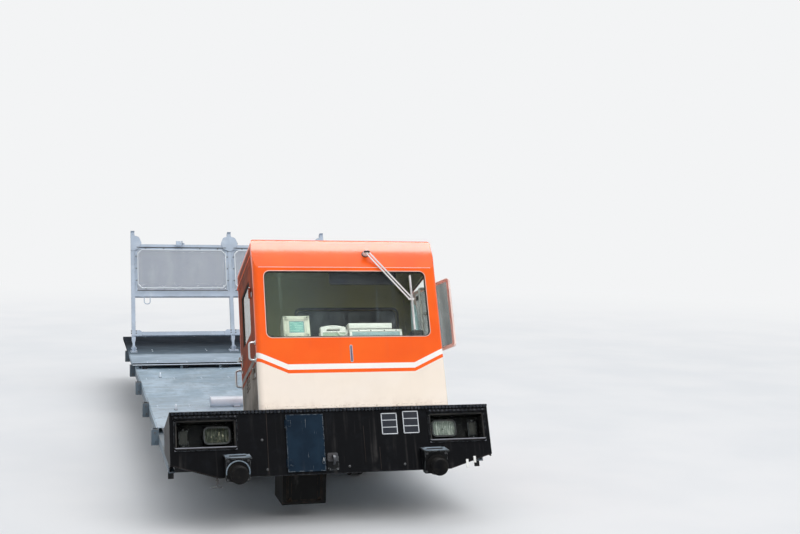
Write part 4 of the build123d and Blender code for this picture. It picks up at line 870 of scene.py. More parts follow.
# Headstock, lamps and buffers
def headstock_trim():
    """Toothed lips, lamp bars, weld beads, blank plates, the bolt bar and tabs."""
    # Teeth and ledge bumps in a grey painted lighter than the headstock: painted highlight.
    hang("lip_teeth", lit_tooth_grey, *[
        (block((0.018, 0.027, 0.0135), 0.003, 1),
         front_face(-1.290 + step * 0.030, -0.0132, -0.0068)) for step in range(87)])
    hang("ledge_teeth", lit_tooth_grey, *[
        (block((0.016, 0.015, 0.008), 0.003, 1),
         front_face(side * LAMP_X - 0.230 + step * 0.0354, -0.050, -0.026))
        for side in BOTH for step in range(14)])
    hang("lamp_lower_bars", lamp_bar, *[
        (plate(wide, tall, corner, deep), front_face(side * LAMP_X, w, h)) for side in BOTH
        for wide, tall, corner, deep, w, h in ((0.486, 0.010, 0.003, 0.006, -0.3045, 0.0),
                                               (0.474, 0.006, 0.002, 0.004, -0.2880, -0.008))])
    hang("headstock_welds", seam_brown, *[
        (block((wide, tall, 0.003), 0.0012), front_face(x, w, -0.001) @ turn(lean))
        for wide, tall, x, w, lean in (
            (0.005, 0.490, -0.552, -0.270, 0), (0.005, 0.180, 0.360, -0.422, 0),
            (0.004, 0.300, 0.236, -0.300, 0), (0.36, 0.004, -1.12, -0.4735, -0.297),
            (0.36, 0.004, 1.12, -0.4735, 0.297))])
    hang("headstock_bolts", fixings, *bolts([front_face(x, w) for x, w in (
        (-0.594, -0.241), (-0.560, -0.478), (0.100, -0.478), (0.560, -0.478))], 0.007, 0.005))
    fields, borders = [], []
    for x, w, wide, tall in ((0.457, -0.141, 0.133, 0.176), (0.640, -0.1335, 0.133, 0.185)):
        fields.append((plate(wide - 0.004, tall - 0.004, 0.004, 0.0012, 0.0003), front_face(x, w)))
        borders.append((band(wide, tall, 0.006, 0.007, 0.0022, 0.0005), front_face(x, w)))
        borders += [(plate(wide - 0.012, 0.006, 0.001, 0.002, 0.0004),
                     front_face(x, w + step * tall / 6)) for step in BOTH]
        borders += screws([front_face(x + dx, w + dw, -0.002) for dx, dw in
                           corners(wide / 2 - 0.004, tall / 2 - 0.004)], 0.0025, 0.0015)
    hang("blank_plate_fields", plate_dark, *fields)
    hang("blank_plate_borders", plate_pale, *borders)
    hang("bolt_bar", fixings,
         (rod(((-0.956, 0, -0.505), (-0.956, 0, -0.597)), 0.006, 10), level_top(0, 0.012, 0)),
         (rod(((-1.007, 0, -0.597), (-0.919, 0, -0.597)), 0.006, 10), level_top(0, 0.012, 0)),
         (disc(0.013, 0.008, 0.001, 6), level_top(-0.956, 0.012, -0.548)))
    hang("hanging_tabs", tab_white,
         (plate(0.022, 0.071, 0.003, 0.004), front_face(1.091, -0.4925, -0.001)),
         (plate(0.022, 0.054, 0.003, 0.004), front_face(1.158, -0.462, -0.001)))


def lamp_bowl():
    """A rounded bowl that narrows in steps towards its back."""
    bowl = rounded_face(*LENS_SIZE, 0.031)
    face = bowl.faces[:][0]
    for wide, tall, sink in ((0.95, 0.92, 0.010), (0.90, 0.86, 0.011), (0.82, 0.76, 0.009),
                             (0.66, 0.58, 0.006)):
        deeper = extrude(bowl, [face], bmesh.types.BMFace)[0]
        bowl.faces.remove(face)
        face = deeper
        bmesh.ops.scale(bowl, vec=(wide, tall, 1), verts=face.verts)
        bmesh.ops.translate(bowl, vec=(0, 0, -sink), verts=face.verts)
    bmesh.ops.recalc_face_normals(bowl, faces=bowl.faces)
    return bowl


def lamps():
    """Bowl, rim, lens and side lamp behind each window, and the window's seal."""
    mouth, w = 0.0643, LAMP_W + 0.004
    for side, name in zip(BOTH, ("left", "right")):
        x, outer = side * (LAMP_X - 0.095), side * (LAMP_X + 0.165)
        bulb = turned(((0.0, 0.020), (0.006, 0.019), (0.008, 0.012), (0.009, 0.0)), 20)
        hang("lamp_bowl_" + name, reflectors[side], (lamp_bowl(), front_face(x, w, mouth)),
             (bulb, front_face(x, w, mouth + 0.036)))
        hang("lamp_rim_" + name, fixings,
             (band(0.214, 0.144, 0.042, 0.014, 0.006), front_face(x, w, mouth + 0.001)),
             *screws([front_face(x + flip * 0.102, w, mouth - 0.005) for flip in BOTH],
                     0.004, 0.003))
        hang("lamp_lens_" + name, lens_glass,
             (plate(*LENS_SIZE, 0.030, 0.005, 0.002), front_face(x, w, mouth + 0.003)))
        hang("side_lamp_mount_" + name, bracket_black,
             (plate(0.080, 0.150, 0.006, 0.003), front_face(outer, LAMP_W, 0.100)),
             (band(0.072, 0.118, 0.010, 0.007, 0.010, 0.002), front_face(outer, LAMP_W, 0.097)),
             *bolts([front_face(outer, LAMP_W + step * 0.067, 0.097) for step in BOTH],
                    0.005, 0.004))
        hang("side_lamp_" + name, side_lamp,
             (plate(0.057, 0.103, 0.008, 0.007, 0.003), front_face(outer, LAMP_W, 0.0965)))
        hang("lamp_window_seal_" + name, seal_rubber,
             (band(0.469, 0.227, 0.0175, 0.010, 0.004, 0.0015),
              front_face(side * LAMP_X, LAMP_W, 0.0025)))
        hang("lamp_frame_screws_" + name, fixings, *screws(
            [front_face(side * LAMP_X + dx, LAMP_W + dw, -0.008)
             for dx, dw in corners(0.2405, 0.100)], 0.0035, 0.002))


def cover_and_hook():
    """Hinges and latch of the centre cover, the hook's backing, the case's straps."""
    hinges, pin = [], ((0, 0, -0.032), (0, 0, 0.032))
    for w in (-0.120, -0.434):
        hinges += [(rod(pin, 0.006), level_top(-0.4035, -0.006, w)),
                   (plate(0.040, 0.056, 0.004, 0.003), front_face(-0.380, w, -0.0138)),
                   *screws([front_face(-0.376, w + step * 0.018, -0.0165) for step in BOTH],
                           0.004, 0.0025)]
    hang("cover_hinges", slate, *hinges)
    hang("cover_edge", slate,
         (band(0.304, 0.461, 0.005, 0.006, 0.002, 0.0006), front_face(-0.248, -0.277, -0.0135)))
    hang("cover_latch", pale_steel,
         (plate(0.018, 0.046, 0.006, 0.007, 0.002), front_face(-0.112, -0.420, -0.0135)),
         (rod(((0, 0, -0.014), (0, 0, 0.014)), 0.004, 10), level_top(-0.112, -0.026, -0.420)))
    hook_x, hook_w = -0.033, -0.446
    hang("hook_backing", bracket_black,
         (plate(0.090, 0.116, 0.008, 0.004), front_face(hook_x, hook_w)),
         *bolts([front_face(hook_x + dx, hook_w + dw, -0.004)
                 for dx, dw in corners(0.034, 0.047)], 0.006, 0.005))
    straps = []
    for x in (-0.335, -0.095):
        straps += [(plate(0.028, 0.270, 0.002, 0.003), upright(x, -3.857, 0.298)),
                   *bolts([upright(x, -3.860, z) for z in (0.19, 0.40)], 0.006, 0.005)]
    hang("case_straps", case_dark, *straps,
         (band(0.300, 0.220, 0.010, 0.012, 0.003), upright(-0.215, -3.857, 0.275)))


def buffer_trim():
    """End rings, bolts and pale strips of the two buffers."""
    across = [side * 0.802 for side in BOTH]
    root_y, end_y, z = -4.189, -4.3115, 0.499
    end_ring = ((0.0, 0.001), (0.030, 0.001), (0.032, -0.001), (0.0, -0.001))
    hang("buffer_rings", bracket_black, *[(turned(end_ring), upright(x, end_y, z))
                                          for x in across])
    hang("buffer_bolts", fixings, *bolts(
        [upright(x, root_y, z) @ at(dx, 0.016 + dz, 0) for x in across
         for dx, dz in corners(0.078, 0.074)], 0.007, 0.006))
    arc = [(0.0905 * cos(step * pi / 16), 0.0905 * sin(step * pi / 16), 0.004)
           for step in range(-1, 18)]
    # Pale grey frames round the bracket tops and an arc at the buffer's root.
    hang("bracket_pale_strips", pale_strip_grey,
         *[(band(0.196, 0.124, 0.004, 0.030, 0.003), at(x, -4.136, 0.6148)) for x in across],
         (rod(arc, 0.0050, 10), upright(across[0], root_y, z)))


# The cab's outside
def window_trims():
    """Trims and seals round the panes, and the film of rain streaks."""
    x, w, wide, tall = SCREEN
    hang("windscreen_trim", trim_pink,
         (band(wide + 0.006, tall + 0.006, 0.053, 0.006, 0.0035, 0.0012),
          front_face(x, w, 0.0005)))
    hang("windscreen_smears", smear_film,
         (plate(wide - 0.024, tall - 0.024, 0.040, 0.0003, 0.0), front_face(x, w, 0.0115)))
    hang("windscreen_seal", seal_rubber,
         (band(wide - 0.001, tall - 0.001, 0.0495, 0.012, 0.009, 0.003), front_face(x, w, 0.0125)),
         (band(0.939, 0.299, 0.0495, 0.012, 0.010, 0.003), back_face(*REAR_WINDOW, 0.9615)))
    hang("door_window_seal", seal_rubber,
         (band(0.4895, 0.4695, 0.0395, 0.011, 0.008, 0.003), cab_side(-1, *DOOR_WINDOW, -0.0125)),
         body="cab_door")
    hang("door_seal", seal_rubber,
         (band(0.7095, 1.2375, 0.0455, 0.0026, 0.012, 0.0005), cab_side(-1, 0.520, 0.681, -0.022)))
    hang("side_window_seal", seal_rubber,
         (band(0.4795, 0.6495, 0.0335, 0.003, 0.012, 0.0006), cab_side(1, 0.498, SASH_W, -0.020)))


def cab_front_trim():
    """The fold's bead, the upright slot, drip edges and the flange at the foot."""
    hang("fold_bead", cream_metal,
         (block((1.500, 0.004, 0.003), 0.0013), front_face(CAB_X, 1.221, -0.0003)))
    slot = front_face(0.185, 0.4595)
    hang("slot_border", pale_steel, (band(0.024, 0.147, 0.010, 0.005, 0.004), slot))
    hang("slot_filling", slot_violet, (plate(0.018, 0.141, 0.008, 0.0025), slot))
    # Rolled drip edges over the door and side window, and a seam along the cab's foot
    hang("drip_edges", orange, *[
        (rod(bent(((-0.010, 0, 0), (0.030, 0.014, 0), (0.820, 0.014, 0), (0.860, 0, 0)), 0.01),
             0.0045, 8), cab_side(side, 0.520 - side * 0.425, 1.352, 0.002)) for side in BOTH])
    hang("cab_foot_flange", orange,
         (block((1.500, 0.022, 0.003), 0.001), front_face(CAB_X, 0.013, -0.001)),
         *screws([front_face(-0.480 + step * 0.169, 0.013, -0.0025) for step in range(9)],
                 0.0045, 0.0025))


def wiper_trim():
    """Collar and cap of the pivot, claws and rubber of the blade."""
    x, w = 0.383, 1.358
    base = leaning(x, 0.0435, w, 0.3054)
    hang("wiper_collar", black_plastic,
         (turned(((0.032, 0.0), (0.032, 0.003), (0.028, 0.006), (0.0, 0.006)), 28), base),
         *screws([base @ turn(third * 2 * pi / 3) @ at(0.028, 0, 0.004) for third in range(3)],
                 0.003, 0.002))
    hang("wiper_cap", black_plastic,
         *[(turned(((0.010, 0.0), (0.010, 0.008), (0.007, 0.011), (0.0, 0.012)), 16),
            front_face(x + shift, w, -0.0215)) for shift in (-0.016, 0.016)],
         (disc(0.009, 0.009, 0.001, 6), front_face(x, w, -0.0255)))
    blade_x, blade_w = 0.7475, 0.902
    spine = ((0, -0.190, 0), (0, -0.100, 0.010), (0, 0.100, 0.010), (0, 0.190, 0))
    hang("wiper_claws", pale_paint,
         *[(block((0.017, 0.020, 0.012), 0.002), front_face(blade_x, blade_w + step, -0.013))
           for step in (-0.170, 0.028, 0.170)],
         (rod(spine, 0.003, 8), front_face(blade_x, blade_w, -0.017)))
    hang("wiper_rubber", seal_rubber,
         (block((0.006, 0.482, 0.012), 0.002), front_face(blade_x, blade_w, 0.006)))


def grips_and_door():
    """Feet of the grab handles, the door's lock and louvres, and all hinges."""
    feet = []
    for h, w in [(h, w) for h in (0.070, 0.930) for w in (0.435, 0.585)]:
        place = cab_side(-1, h, w)
        feet += [(turned(((0.0, 0.006), (0.014, 0.006), (0.019, 0.004), (0.020, 0.0)), 24), place),
                 *screws([place @ turn(flip * pi / 2) @ at(0.0148, 0, 0.005) for flip in (1, 3)],
                         0.0025, 0.0015)]
    hang("grab_handle_feet", pale_steel, *feet)
    hang("door_lock", chrome,
         (turned(((0.0, 0.008), (0.012, 0.008), (0.014, 0.006), (0.014, 0.0)), 24),
          cab_side(-1, 0.825, 0.540)),
         (block((0.002, 0.012, 0.002), 0.0004, 1), cab_side(-1, 0.825, 0.540, 0.0085)),
         *screws([cab_side(-1, 0.825, 0.640 + step * 0.044, 0.008) for step in BOTH],
                 0.0045, 0.003), body="cab_door")
    # Slats behind the louvre openings, tilted to shed water; their dark brown is painted shade in
    # the openings.
    slots = [cab_side(-1, 0.545 + column, 0.368 + (row - 2) * 0.030)
             for column in (-0.056, 0.056) for row in range(5)]
    hang("shaded_louvre_slats", seam_brown, *[
        (block((0.092, 0.016, 0.0015), 0.0006, 1), place @ at(0, 0, -0.016) @ turn(-0.9, "X"))
        for place in slots], body="cab_door")
    # The hoods share the flank's finish and its painted shade.
    hang("louvre_hoods", shaded_flank_orange, *[
        (plate(0.098, 0.018, 0.0085, 0.0025), place @ at(0, 0.0062, 0.0) @ turn(0.30, "X")
         @ squash(1, 0.5)) for place in slots], body="cab_door")
    fixed, moving = [], []
    pin = ((0.0, 0.006), (0.007, 0.005), (0.009, 0.0))
    leaf = (0.052, 0.040, 0.003, 0.0012, 0.0004)
    for w in (0.300, 1.000):
        fixed += [(plate(*leaf), cab_side(-1, 0.134, w + 0.022, 0.0048)),
                  *screws([cab_side(-1, h, w + 0.022, 0.005) for h in (0.130, 0.110)]),
                  (turned(pin, 16), level_top(CAB_LEFT - HINGE_OUT, DOOR_HINGE_H, w + 0.088))]
        moving += [(plate(*leaf), cab_side(-1, 0.203, w + 0.0663, 0.0048)),
                   *screws([cab_side(-1, h, w + 0.0663, 0.005) for h in (0.196, 0.216)])]
    for w in (0.690, 1.110):
        fixed += [*screws([cab_side(1, h, w + 0.022, 0.005) for h in (0.765, 0.785)]),
                  (turned(pin, 16), level_top(CAB_RIGHT + HINGE_OUT, SASH_HINGE_H, w + 0.088))]
    hang("hinge_screws_fixed", pale_steel, *fixed)
    hang("hinge_screws_door", pale_steel, *moving, body="cab_door")


def sash_trim():
    """Trim, catch and screws of the side window, in the plane it stands open in."""
    along_dir = ACROSS * sin(SASH_SWING) - UPHILL * cos(SASH_SWING)
    out_dir = along_dir.cross(PLUMB)

    def sash(along, w, out):
        base = spot(CAB_RIGHT + HINGE_OUT, SASH_HINGE_H, w) + along_dir * along + out_dir * out
        return frame_of(along_dir, PLUMB, out_dir, base)
    middle = 0.240
    hang("side_window_trim", cream_metal, *[
        (band(0.466, 0.636, 0.029, 0.008, 0.0035, 0.001), sash(middle, SASH_W, out))
        for out in (0.030, 0.0105)], body="side_window")
    hang("side_window_bead", cream_metal,
         (band(0.423, 0.593, 0.019, 0.008, 0.004, 0.0012), sash(middle, SASH_W, 0.0258)),
         body="side_window")
    hang("side_window_catch", pale_steel,
         (plate(0.016, 0.060, 0.004, 0.003), sash(0.455, 0.900, 0.0075)),
         (rod(((0, 0.012, -0.003), (0, 0.012, -0.014), (0, -0.020, -0.014)), 0.004, 8),
          sash(0.455, 0.900, 0.009)), body="side_window")


# Inside the cab
def desk_fittings():
    """Monitor, console, gauges, push buttons, levers and the desk's edge."""
    face = leaning(-0.2425, 0.1025, 0.712, 0.0681)
    middle = face @ at(0, 0.012, 0)
    hang("monitor_bezel", monitor_cream,
         (band(0.219, 0.196, 0.010, 0.046, 0.008, 0.003), middle @ at(0, 0, -0.001)),
         (plate(0.219, 0.020, 0.004, 0.007, 0.002), face @ at(0, -0.0985, -0.001)))
    hang("monitor_screen_rim", panel_blue,
         (band(0.127, 0.104, 0.006, 0.006, 0.004, 0.0012), middle @ at(0, 0, 0.002)))
    hang("monitor_screen", display,
         (plate(0.117, 0.094, 0.006, 0.003, 0.001), middle @ at(0, 0, -0.0005)))
    hang("monitor_screws", fixings,
         *screws([face @ at(x, up, 0.0068) for x, up in (
             (-0.085, 0.099), (0.090, 0.099), (-0.092, -0.061), (0.092, -0.061))], 0.0042, 0.002),
         (block((0.217, 0.0022, 0.001), 0.0004, 1), face @ at(0, 0.0745, 0.0068)))
    hang("monitor_vents", black_plastic, *[
        (block((0.150, 0.003, 0.002), 0.0008, 1),
         level_top(-0.2425, 0.135 + step * 0.006, 0.8225 - step * 0.0010)) for step in range(7)])
    # The console is a lid with rounded edges, a rim with screws, the blue panel below it
    lid_x, panel_x = 0.390, 0.4325
    front = leaning(panel_x, 0.086, 0.646, atan2(0.012, 0.088))
    hang("console_lid", console_cream,
         (block((0.378, 0.106, 0.012), 0.004, 3),
          level_top(lid_x, 0.1425, 0.7505) @ turn(0.105, "X")),
         (block((0.459, 0.024, 0.014), 0.004, 3), level_top(panel_x, 0.286, 0.660)),
         (band(0.457, 0.096, 0.008, 0.020, 0.006, 0.0025), front @ at(0, 0.0, -0.001)),
         (block((0.375, 0.008, 0.040), 0.003), level_top(lid_x, 0.0925, 0.724)))
    hang("console_screws", black_plastic,
         (block((0.372, 0.004, 0.005), 0.001, 1), level_top(lid_x, 0.0905, 0.6975)),
         *screws([front @ at(x - panel_x, 0.0375, 0.0045)
                  for x in (0.285, 0.389, 0.507, 0.610)], 0.0055, 0.003))
    hang("console_panel", panel_blue, (plate(0.417, 0.054, 0.002, 0.0025), front))
    steep = leaning(lid_x, 0.2075, 0.7205, atan2(0.486, 0.874), 1)
    dials = (-0.120, -0.045, 0.030)
    rim = ((0.030, 0.0), (0.030, 0.006), (0.027, 0.008), (0.025, 0.005), (0.025, 0.0))
    hang("gauge_rims", black_plastic,
         *[(turned(rim), steep @ at(x, 0, 0)) for x in dials],
         *[(block((0.002, 0.020, 0.001), 0.0003, 1), steep @ at(x, 0.006, 0.003) @ turn(0.6))
           for x in dials])
    hang("gauge_dials", phone_white,
         *[(disc(0.025, 0.002, 0.0003, 32), steep @ at(x, 0, 0)) for x in dials])
    slope = leaning(panel_x, 0.2585, 0.672, atan2(0.881, 0.473), 1)
    button = ((0.0, 0.012), (0.009, 0.010), (0.011, 0.006), (0.011, 0.0))
    for name, cap, shift in (("red", red_cap, -0.120), ("amber", amber, -0.060),
                             ("green", green_cap, 0.0)):
        hang("push_buttons_" + name, cap, *[(turned(button, 20), slope @ at(shift, row, 0))
                                            for row in (-0.014, 0.018)])
    lever = ((0.030, 0.0), (0.030, 0.006), (0.012, 0.012), (0.008, 0.060), (0.013, 0.066),
             (0.014, 0.084), (0.0, 0.090))
    hang("desk_levers", black_plastic,
         *[(turned(lever, 24), level_top(x, 0.225, 0.602)) for x in (-0.430, -0.480)],
         (block((0.150, 0.090, 0.012), 0.004, 3), level_top(-0.455, 0.225, 0.603)))
    hang("desk_edge", black_plastic,
         (block((1.470, 0.012, 0.010), 0.003, 2), level_top(CAB_X, 0.300, 0.6020)))


def phone():
    """Handset, its rests, and the panel and keys of the telephone."""
    h = 0.170
    ends = []
    for x in (-0.005, 0.161):
        ends += [(disc(0.026, 0.014, 0.004, 28, 0.024),
                  level_top(x, h, 0.7225) @ squash(0.95, 1.02)),
                 (band(0.050, 0.052, 0.016, 0.006, 0.005), level_top(x, h, 0.6935))]
    grip = rod(bent(((-0.020, 0, 0.712), (0.006, 0, 0.7375), (0.078, 0, 0.7435),
                     (0.150, 0, 0.7375), (0.176, 0, 0.712)), 0.045), 0.0145, 20)
    panel = front_face(0.079, 0.650, 0.1255)
    hang("handset_and_rims", phone_white, *ends, (grip, level_top(0, h, 0) @ squash(1, 1.5)),
         (band(0.226, 0.088, 0.010, 0.014, 0.005, 0.002), panel))
    hang("phone_panel", panel_green, (plate(0.196, 0.058, 0.002, 0.002, 0.0006), panel))
    hang("phone_keys", black_plastic, *[
        (block((0.012, 0.005, 0.009), 0.0012, 1),
         level_top(0.045 + column * 0.025, 0.2165, 0.630 + row * 0.014))
        for column in range(3) for row in range(3)])


def smooth_line(places):
    """The points of a smooth curve drawn through the cab, and the length up to each."""
    curve = bpy.data.curves.new("cord_route", "CURVE")
    curve.dimensions = "3D"
    curve.resolution_u = 24
    line = curve.splines.new("NURBS")
    line.points.add(len(places) - 1)
    for point, place in zip(line.points, places):
        point.co = (*spot(*place), 1.0)
    line.order_u = 3
    line.use_endpoint_u = True
    drawn = thing_of("cord_route", curve)
    mesh = evaluated(drawn)
    points = [v.co.copy() for v in mesh.vertices]
    bpy.data.meshes.remove(mesh)
    bpy.data.objects.remove(drawn)
    bpy.data.curves.remove(curve)
    lengths = [0.0]
    for start, end in zip(points, points[1:]):
        lengths.append(lengths[-1] + (end - start).length)
    return points, lengths


def handset_cord():
    """The coiled cord hangs in a loop from the handset's end to the phone's front."""
    route, lengths = smooth_line((
        (0.182, 0.166, 0.716), (0.192, 0.155, 0.712), (0.1955, 0.138, 0.698),
        (0.194, 0.120, 0.678), (0.180, 0.108, 0.658), (0.152, 0.104, 0.649),
        (0.124, 0.105, 0.657), (0.109, 0.109, 0.674), (0.106, 0.116, 0.688),
        (0.106, 0.127, 0.694)))
    turns, steps_a_turn, radius, wire = 40, 12, 0.0052, 0.0017
    count = turns * steps_a_turn
    loops, index = [], 0
    rise = PLUMB
    for step in range(count + 1):
        want = lengths[-1] * step / count
        while index < len(route) - 2 and lengths[index + 1] < want:
            index += 1
        ahead = (route[index + 1] - route[index]).normalized()
        share = (want - lengths[index]) / (lengths[index + 1] - lengths[index])
        middle = route[index].lerp(route[index + 1], min(1.0, share))
        side = ahead.cross(rise).normalized()
        rise = side.cross(ahead)
        # The first and last turns open up from a third of the radius
        swell = min(1.0, (step + 6) / 18, (count - step + 6) / 18)
        angle = turns * 2 * pi * step / count
        loops.append(middle + (side * cos(angle) + rise * sin(angle)) * radius * swell)
    cord = hang("handset_cord", phone_white, (rod(loops, wire, 6), at(0, 0, 0)), smooth=60)
    tuple(route[0])
    [tuple(p) for p in route]


def cab_interior():
    """Hand pole, rolled flags, visor rim, linings and the ceiling lamp."""
    low, mid, high, pole_h = 0.634, 0.846, 1.076, 0.140
    wall_x, pole_x = 0.956, 0.866
    bar = bent([(x, pole_h, w) for x, w in ((wall_x, low), (pole_x, low), (pole_x, high),
                                            (wall_x, high))], 0.020)
    hang("cab_hand_pole", pale_paint, (rod(bar, 0.0125, 16), level_top(0, 0, 0)),
         (rod(((pole_x, pole_h, mid), (wall_x, pole_h, mid)), 0.007), level_top(0, 0, 0)),
         *[(disc(0.022, 0.004, 0.001, 20), cab_lining(1, 0.9555, pole_h, w))
           for w in (low, mid, high)],
         (block((0.016, 0.030, 0.030), 0.004), level_top(0.902, pole_h, mid)))
    flags = (((0.0, 0.0), (0.022, 0.003), (0.027, 0.040), (0.024, 0.150), (0.015, 0.300),
              (0.007, 0.345), (0.0, 0.350)),
             ((0.0, 0.0), (0.018, 0.003), (0.022, 0.040), (0.019, 0.130), (0.012, 0.250),
              (0.006, 0.290), (0.0, 0.294)))
    hang("rolled_flags", panel_blue, (turned(flags[0], 20), level_top(0.786, 0.118, 0.640)),
         (turned(flags[1], 20), level_top(0.818, 0.150, 0.640)))
    hang("flag_holder", black_plastic,
         (band(0.104, 0.104, 0.020, 0.004, 0.080), level_top(0.802, 0.134, 0.602)),
         (block((0.104, 0.104, 0.006), 0.002), level_top(0.802, 0.134, 0.6055)))
    hang("visor_rim", black_plastic,
         (band(0.596, 0.184, 0.026, 0.008, 0.008, 0.002), front_face(0.357, 1.188, 0.0975)),
         *[(rod(((-0.014, 0, 0), (0.014, 0, 0)), 0.006, 10), front_face(x, 1.246, 0.0955))
           for x in (0.197, 0.517)])
    hang("rear_lining_batten", orange,
         (block((1.520, 0.006, 0.016), 0.002), level_top(CAB_X, 0.955, 1.262)))
    # The rear window's dark film: painted shade seen through the window.
    hang("rear_window_shade_film", rear_shade_film,
         (plate(0.934, 0.294, 0.049, 0.0008, 0.0), back_face(*REAR_WINDOW, 0.9550)))
    hang("inner_window_frames", black_plastic,
         (band(0.985, 0.345, 0.060, 0.022, 0.004, 0.0015), front_face(*REAR_WINDOW, 0.9455)),
         (band(0.535, 0.515, 0.055, 0.022, 0.004, 0.0015),
          cab_lining(-1, -0.5655, *DOOR_WINDOW)))
    shade = ((0.070, 0.0), (0.068, -0.020), (0.050, -0.036), (0.0, -0.042))
    hang("ceiling_lamp", phone_white, (turned(shade, 36), level_top(CAB_X, 0.560, 1.4775)))


def seat():
    """The cushion swells between a piped seam and its flat foot."""
    wide, deep, thick = 0.404, 0.364, 0.070
    form = bmesh.new()
    bmesh.ops.create_cube(form, size=1, matrix=Matrix.Diagonal((wide, deep, thick * 0.7, 1)))
    # First the four plumb edges, then the rims round the top and the foot
    soften(form, [e for e in form.edges if abs((e.verts[0].co - e.verts[1].co).z) > 0.01],
           0.050, 6)
    soften(form, [e for e in form.edges if e.calc_face_angle() > 1.2], 0.012, 3)
    bmesh.ops.triangulate(form, faces=form.faces[:])
    bmesh.ops.subdivide_edges(form, edges=form.edges[:], cuts=2, use_grid_fill=True)
    cushion = thing_of("driver_cushion", mesh_of("cushion", form))
    # Even quads, blown up a little; the foot stays where it is
    remesh = cushion.modifiers.new("even", "REMESH")
    remesh.mode = "VOXEL"
    remesh.voxel_size = 0.006
    even = evaluated(cushion)
    cushion.modifiers.clear()
    cushion.data = even
    start = [v.co.copy() for v in even.vertices]
    soft = cushion.modifiers.new("swell", "CLOTH")
    soft.settings.use_pressure = True
    soft.settings.uniform_pressure_force = 4
    soft.settings.effector_weights.gravity = 0
    soft.settings.quality = 5
    for step in range(1, 21):
        scene.frame_set(step)
    swollen = evaluated(cushion)
    cushion.modifiers.clear()
    scene.frame_set(1)
    for vertex, rest in zip(swollen.vertices, start):
        move = vertex.co - rest
        cap = 0.012 if rest.z > -thick * 0.3 else 0.0
        vertex.co = rest + move.normalized() * min(move.length, cap)
    cushion.data = swollen
    middle = (0.250, 0.690)
    cushion.data.transform(level_top(*middle, 0.4605))
    form = bmesh.new()
    form.from_mesh(cushion.data)
    bmesh.ops.recalc_face_normals(form, faces=form.faces)
    form.to_mesh(cushion.data)
    form.free()
    cushion.data.polygons.foreach_set("use_smooth", [True] * len(cushion.data.polygons))
    cushion.data.materials.clear()
    cushion.data.materials.append(seat_cloth)
    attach(cushion, "car")
    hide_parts("seat_cushion")
    x, y = wide / 2, deep / 2
    seam = bent([(-x, 0, 0), (-x, y, 0), (x, y, 0), (x, -y, 0), (-x, -y, 0), (-x, -0.001, 0)],
                0.052)
    hang("cushion_piping", black_plastic, (rod(seam, 0.004, 8), level_top(*middle, 0.478)),
         smooth=60)


# Deck and load gate
def deck_trim():
    """The tube's end rings, weld beads, deck screws, nosing and stake pockets."""
    tube_y = -1.627
    collar = ((0.0425, 0.0), (0.0485, 0.0), (0.0495, 0.0015), (0.0495, 0.010),
              (0.0478, 0.012), (0.0425, 0.012), (0.0425, 0.0))
    hang("tube_end_rings", galvanised, *[
        (turned(collar, 40), outboard(side, x - side * 0.0115, tube_y, 0.631))
        for side, x in ((-1, -0.740), (1, 1.180))])
    along, across = ((-0.030, 0, 0), (0.030, 0, 0)), ((0, -0.035, 0), (0, 0.035, 0))
    beads = []
    for x, flip in [(x, flip) for x in (-0.480, 0.920) for flip in BOTH]:
        beads += [(rod(along, 0.004, 8), at(x, tube_y + flip * 0.036, WELD_Z)),
                  (rod(across, 0.004, 8), at(x + flip * 0.031, tube_y, WELD_Z))]
    hang("deck_welds", sill_grey, *beads, *[
        (block((0.030, 0.064, 0.006), 0.002), at(x, y, WELD_Z))
        for x in (-1.080, 1.080) for y in (-1.727, 0.473)])
    hang("deck_screws", galvanised, *screws(
        [at(x, y, DECK_Z) for x in (-1.24, -0.93, -0.62, -0.31, 0.0, 0.31, 0.62, 0.93, 1.24)
         for y in (-1.545, -1.470, 0.335, 0.410, 1.120)], 0.008, 0.0025))
    hang("raised_deck_screws", galvanised,
         *screws([at(x, y, RAISED_Z) for x in (-1.180, -0.708, -0.236, 0.236, 0.708, 1.180)
                  for y in (1.225, 1.290)], 0.007, 0.003),
         *screws([at(x, y, RAISED_Z) for x in (-1.05, -0.35, 0.35, 1.05)
                  for y in (1.405, 2.36, 2.50, 4.08)], 0.008, 0.0035))
    hang("nosing_strip", galvanised,
         (block((2.712, 0.006, 0.010), 0.002), at(0, 1.194, RAISED_Z - 0.022)))
    hang("nosing_legs", sill_grey, *[
        (block((0.028, 0.005, 0.046), 0.0015), at(x, 1.1955, RAISED_Z - 0.049))
        for x in (-1.300, -0.777, -0.309, 0.309, 0.777, 1.300)])
    rivets = []
    for side, y in [(side, -2.677 + step * 1.420) for side in BOTH for step in range(5)]:
        rivets += bolts([upright(side * 1.338, y + flip * 0.048, z, flip)
                         for flip in BOTH for z in (0.465, 0.545)], 0.007, 0.005)
        rivets.append((band(0.046, 0.078, 0.004, 0.006, 0.003, 0.001),
                       at(side * 1.3405, y, DECK_Z - 0.002)))
    hang("pocket_rivets", sill_grey, *rivets)


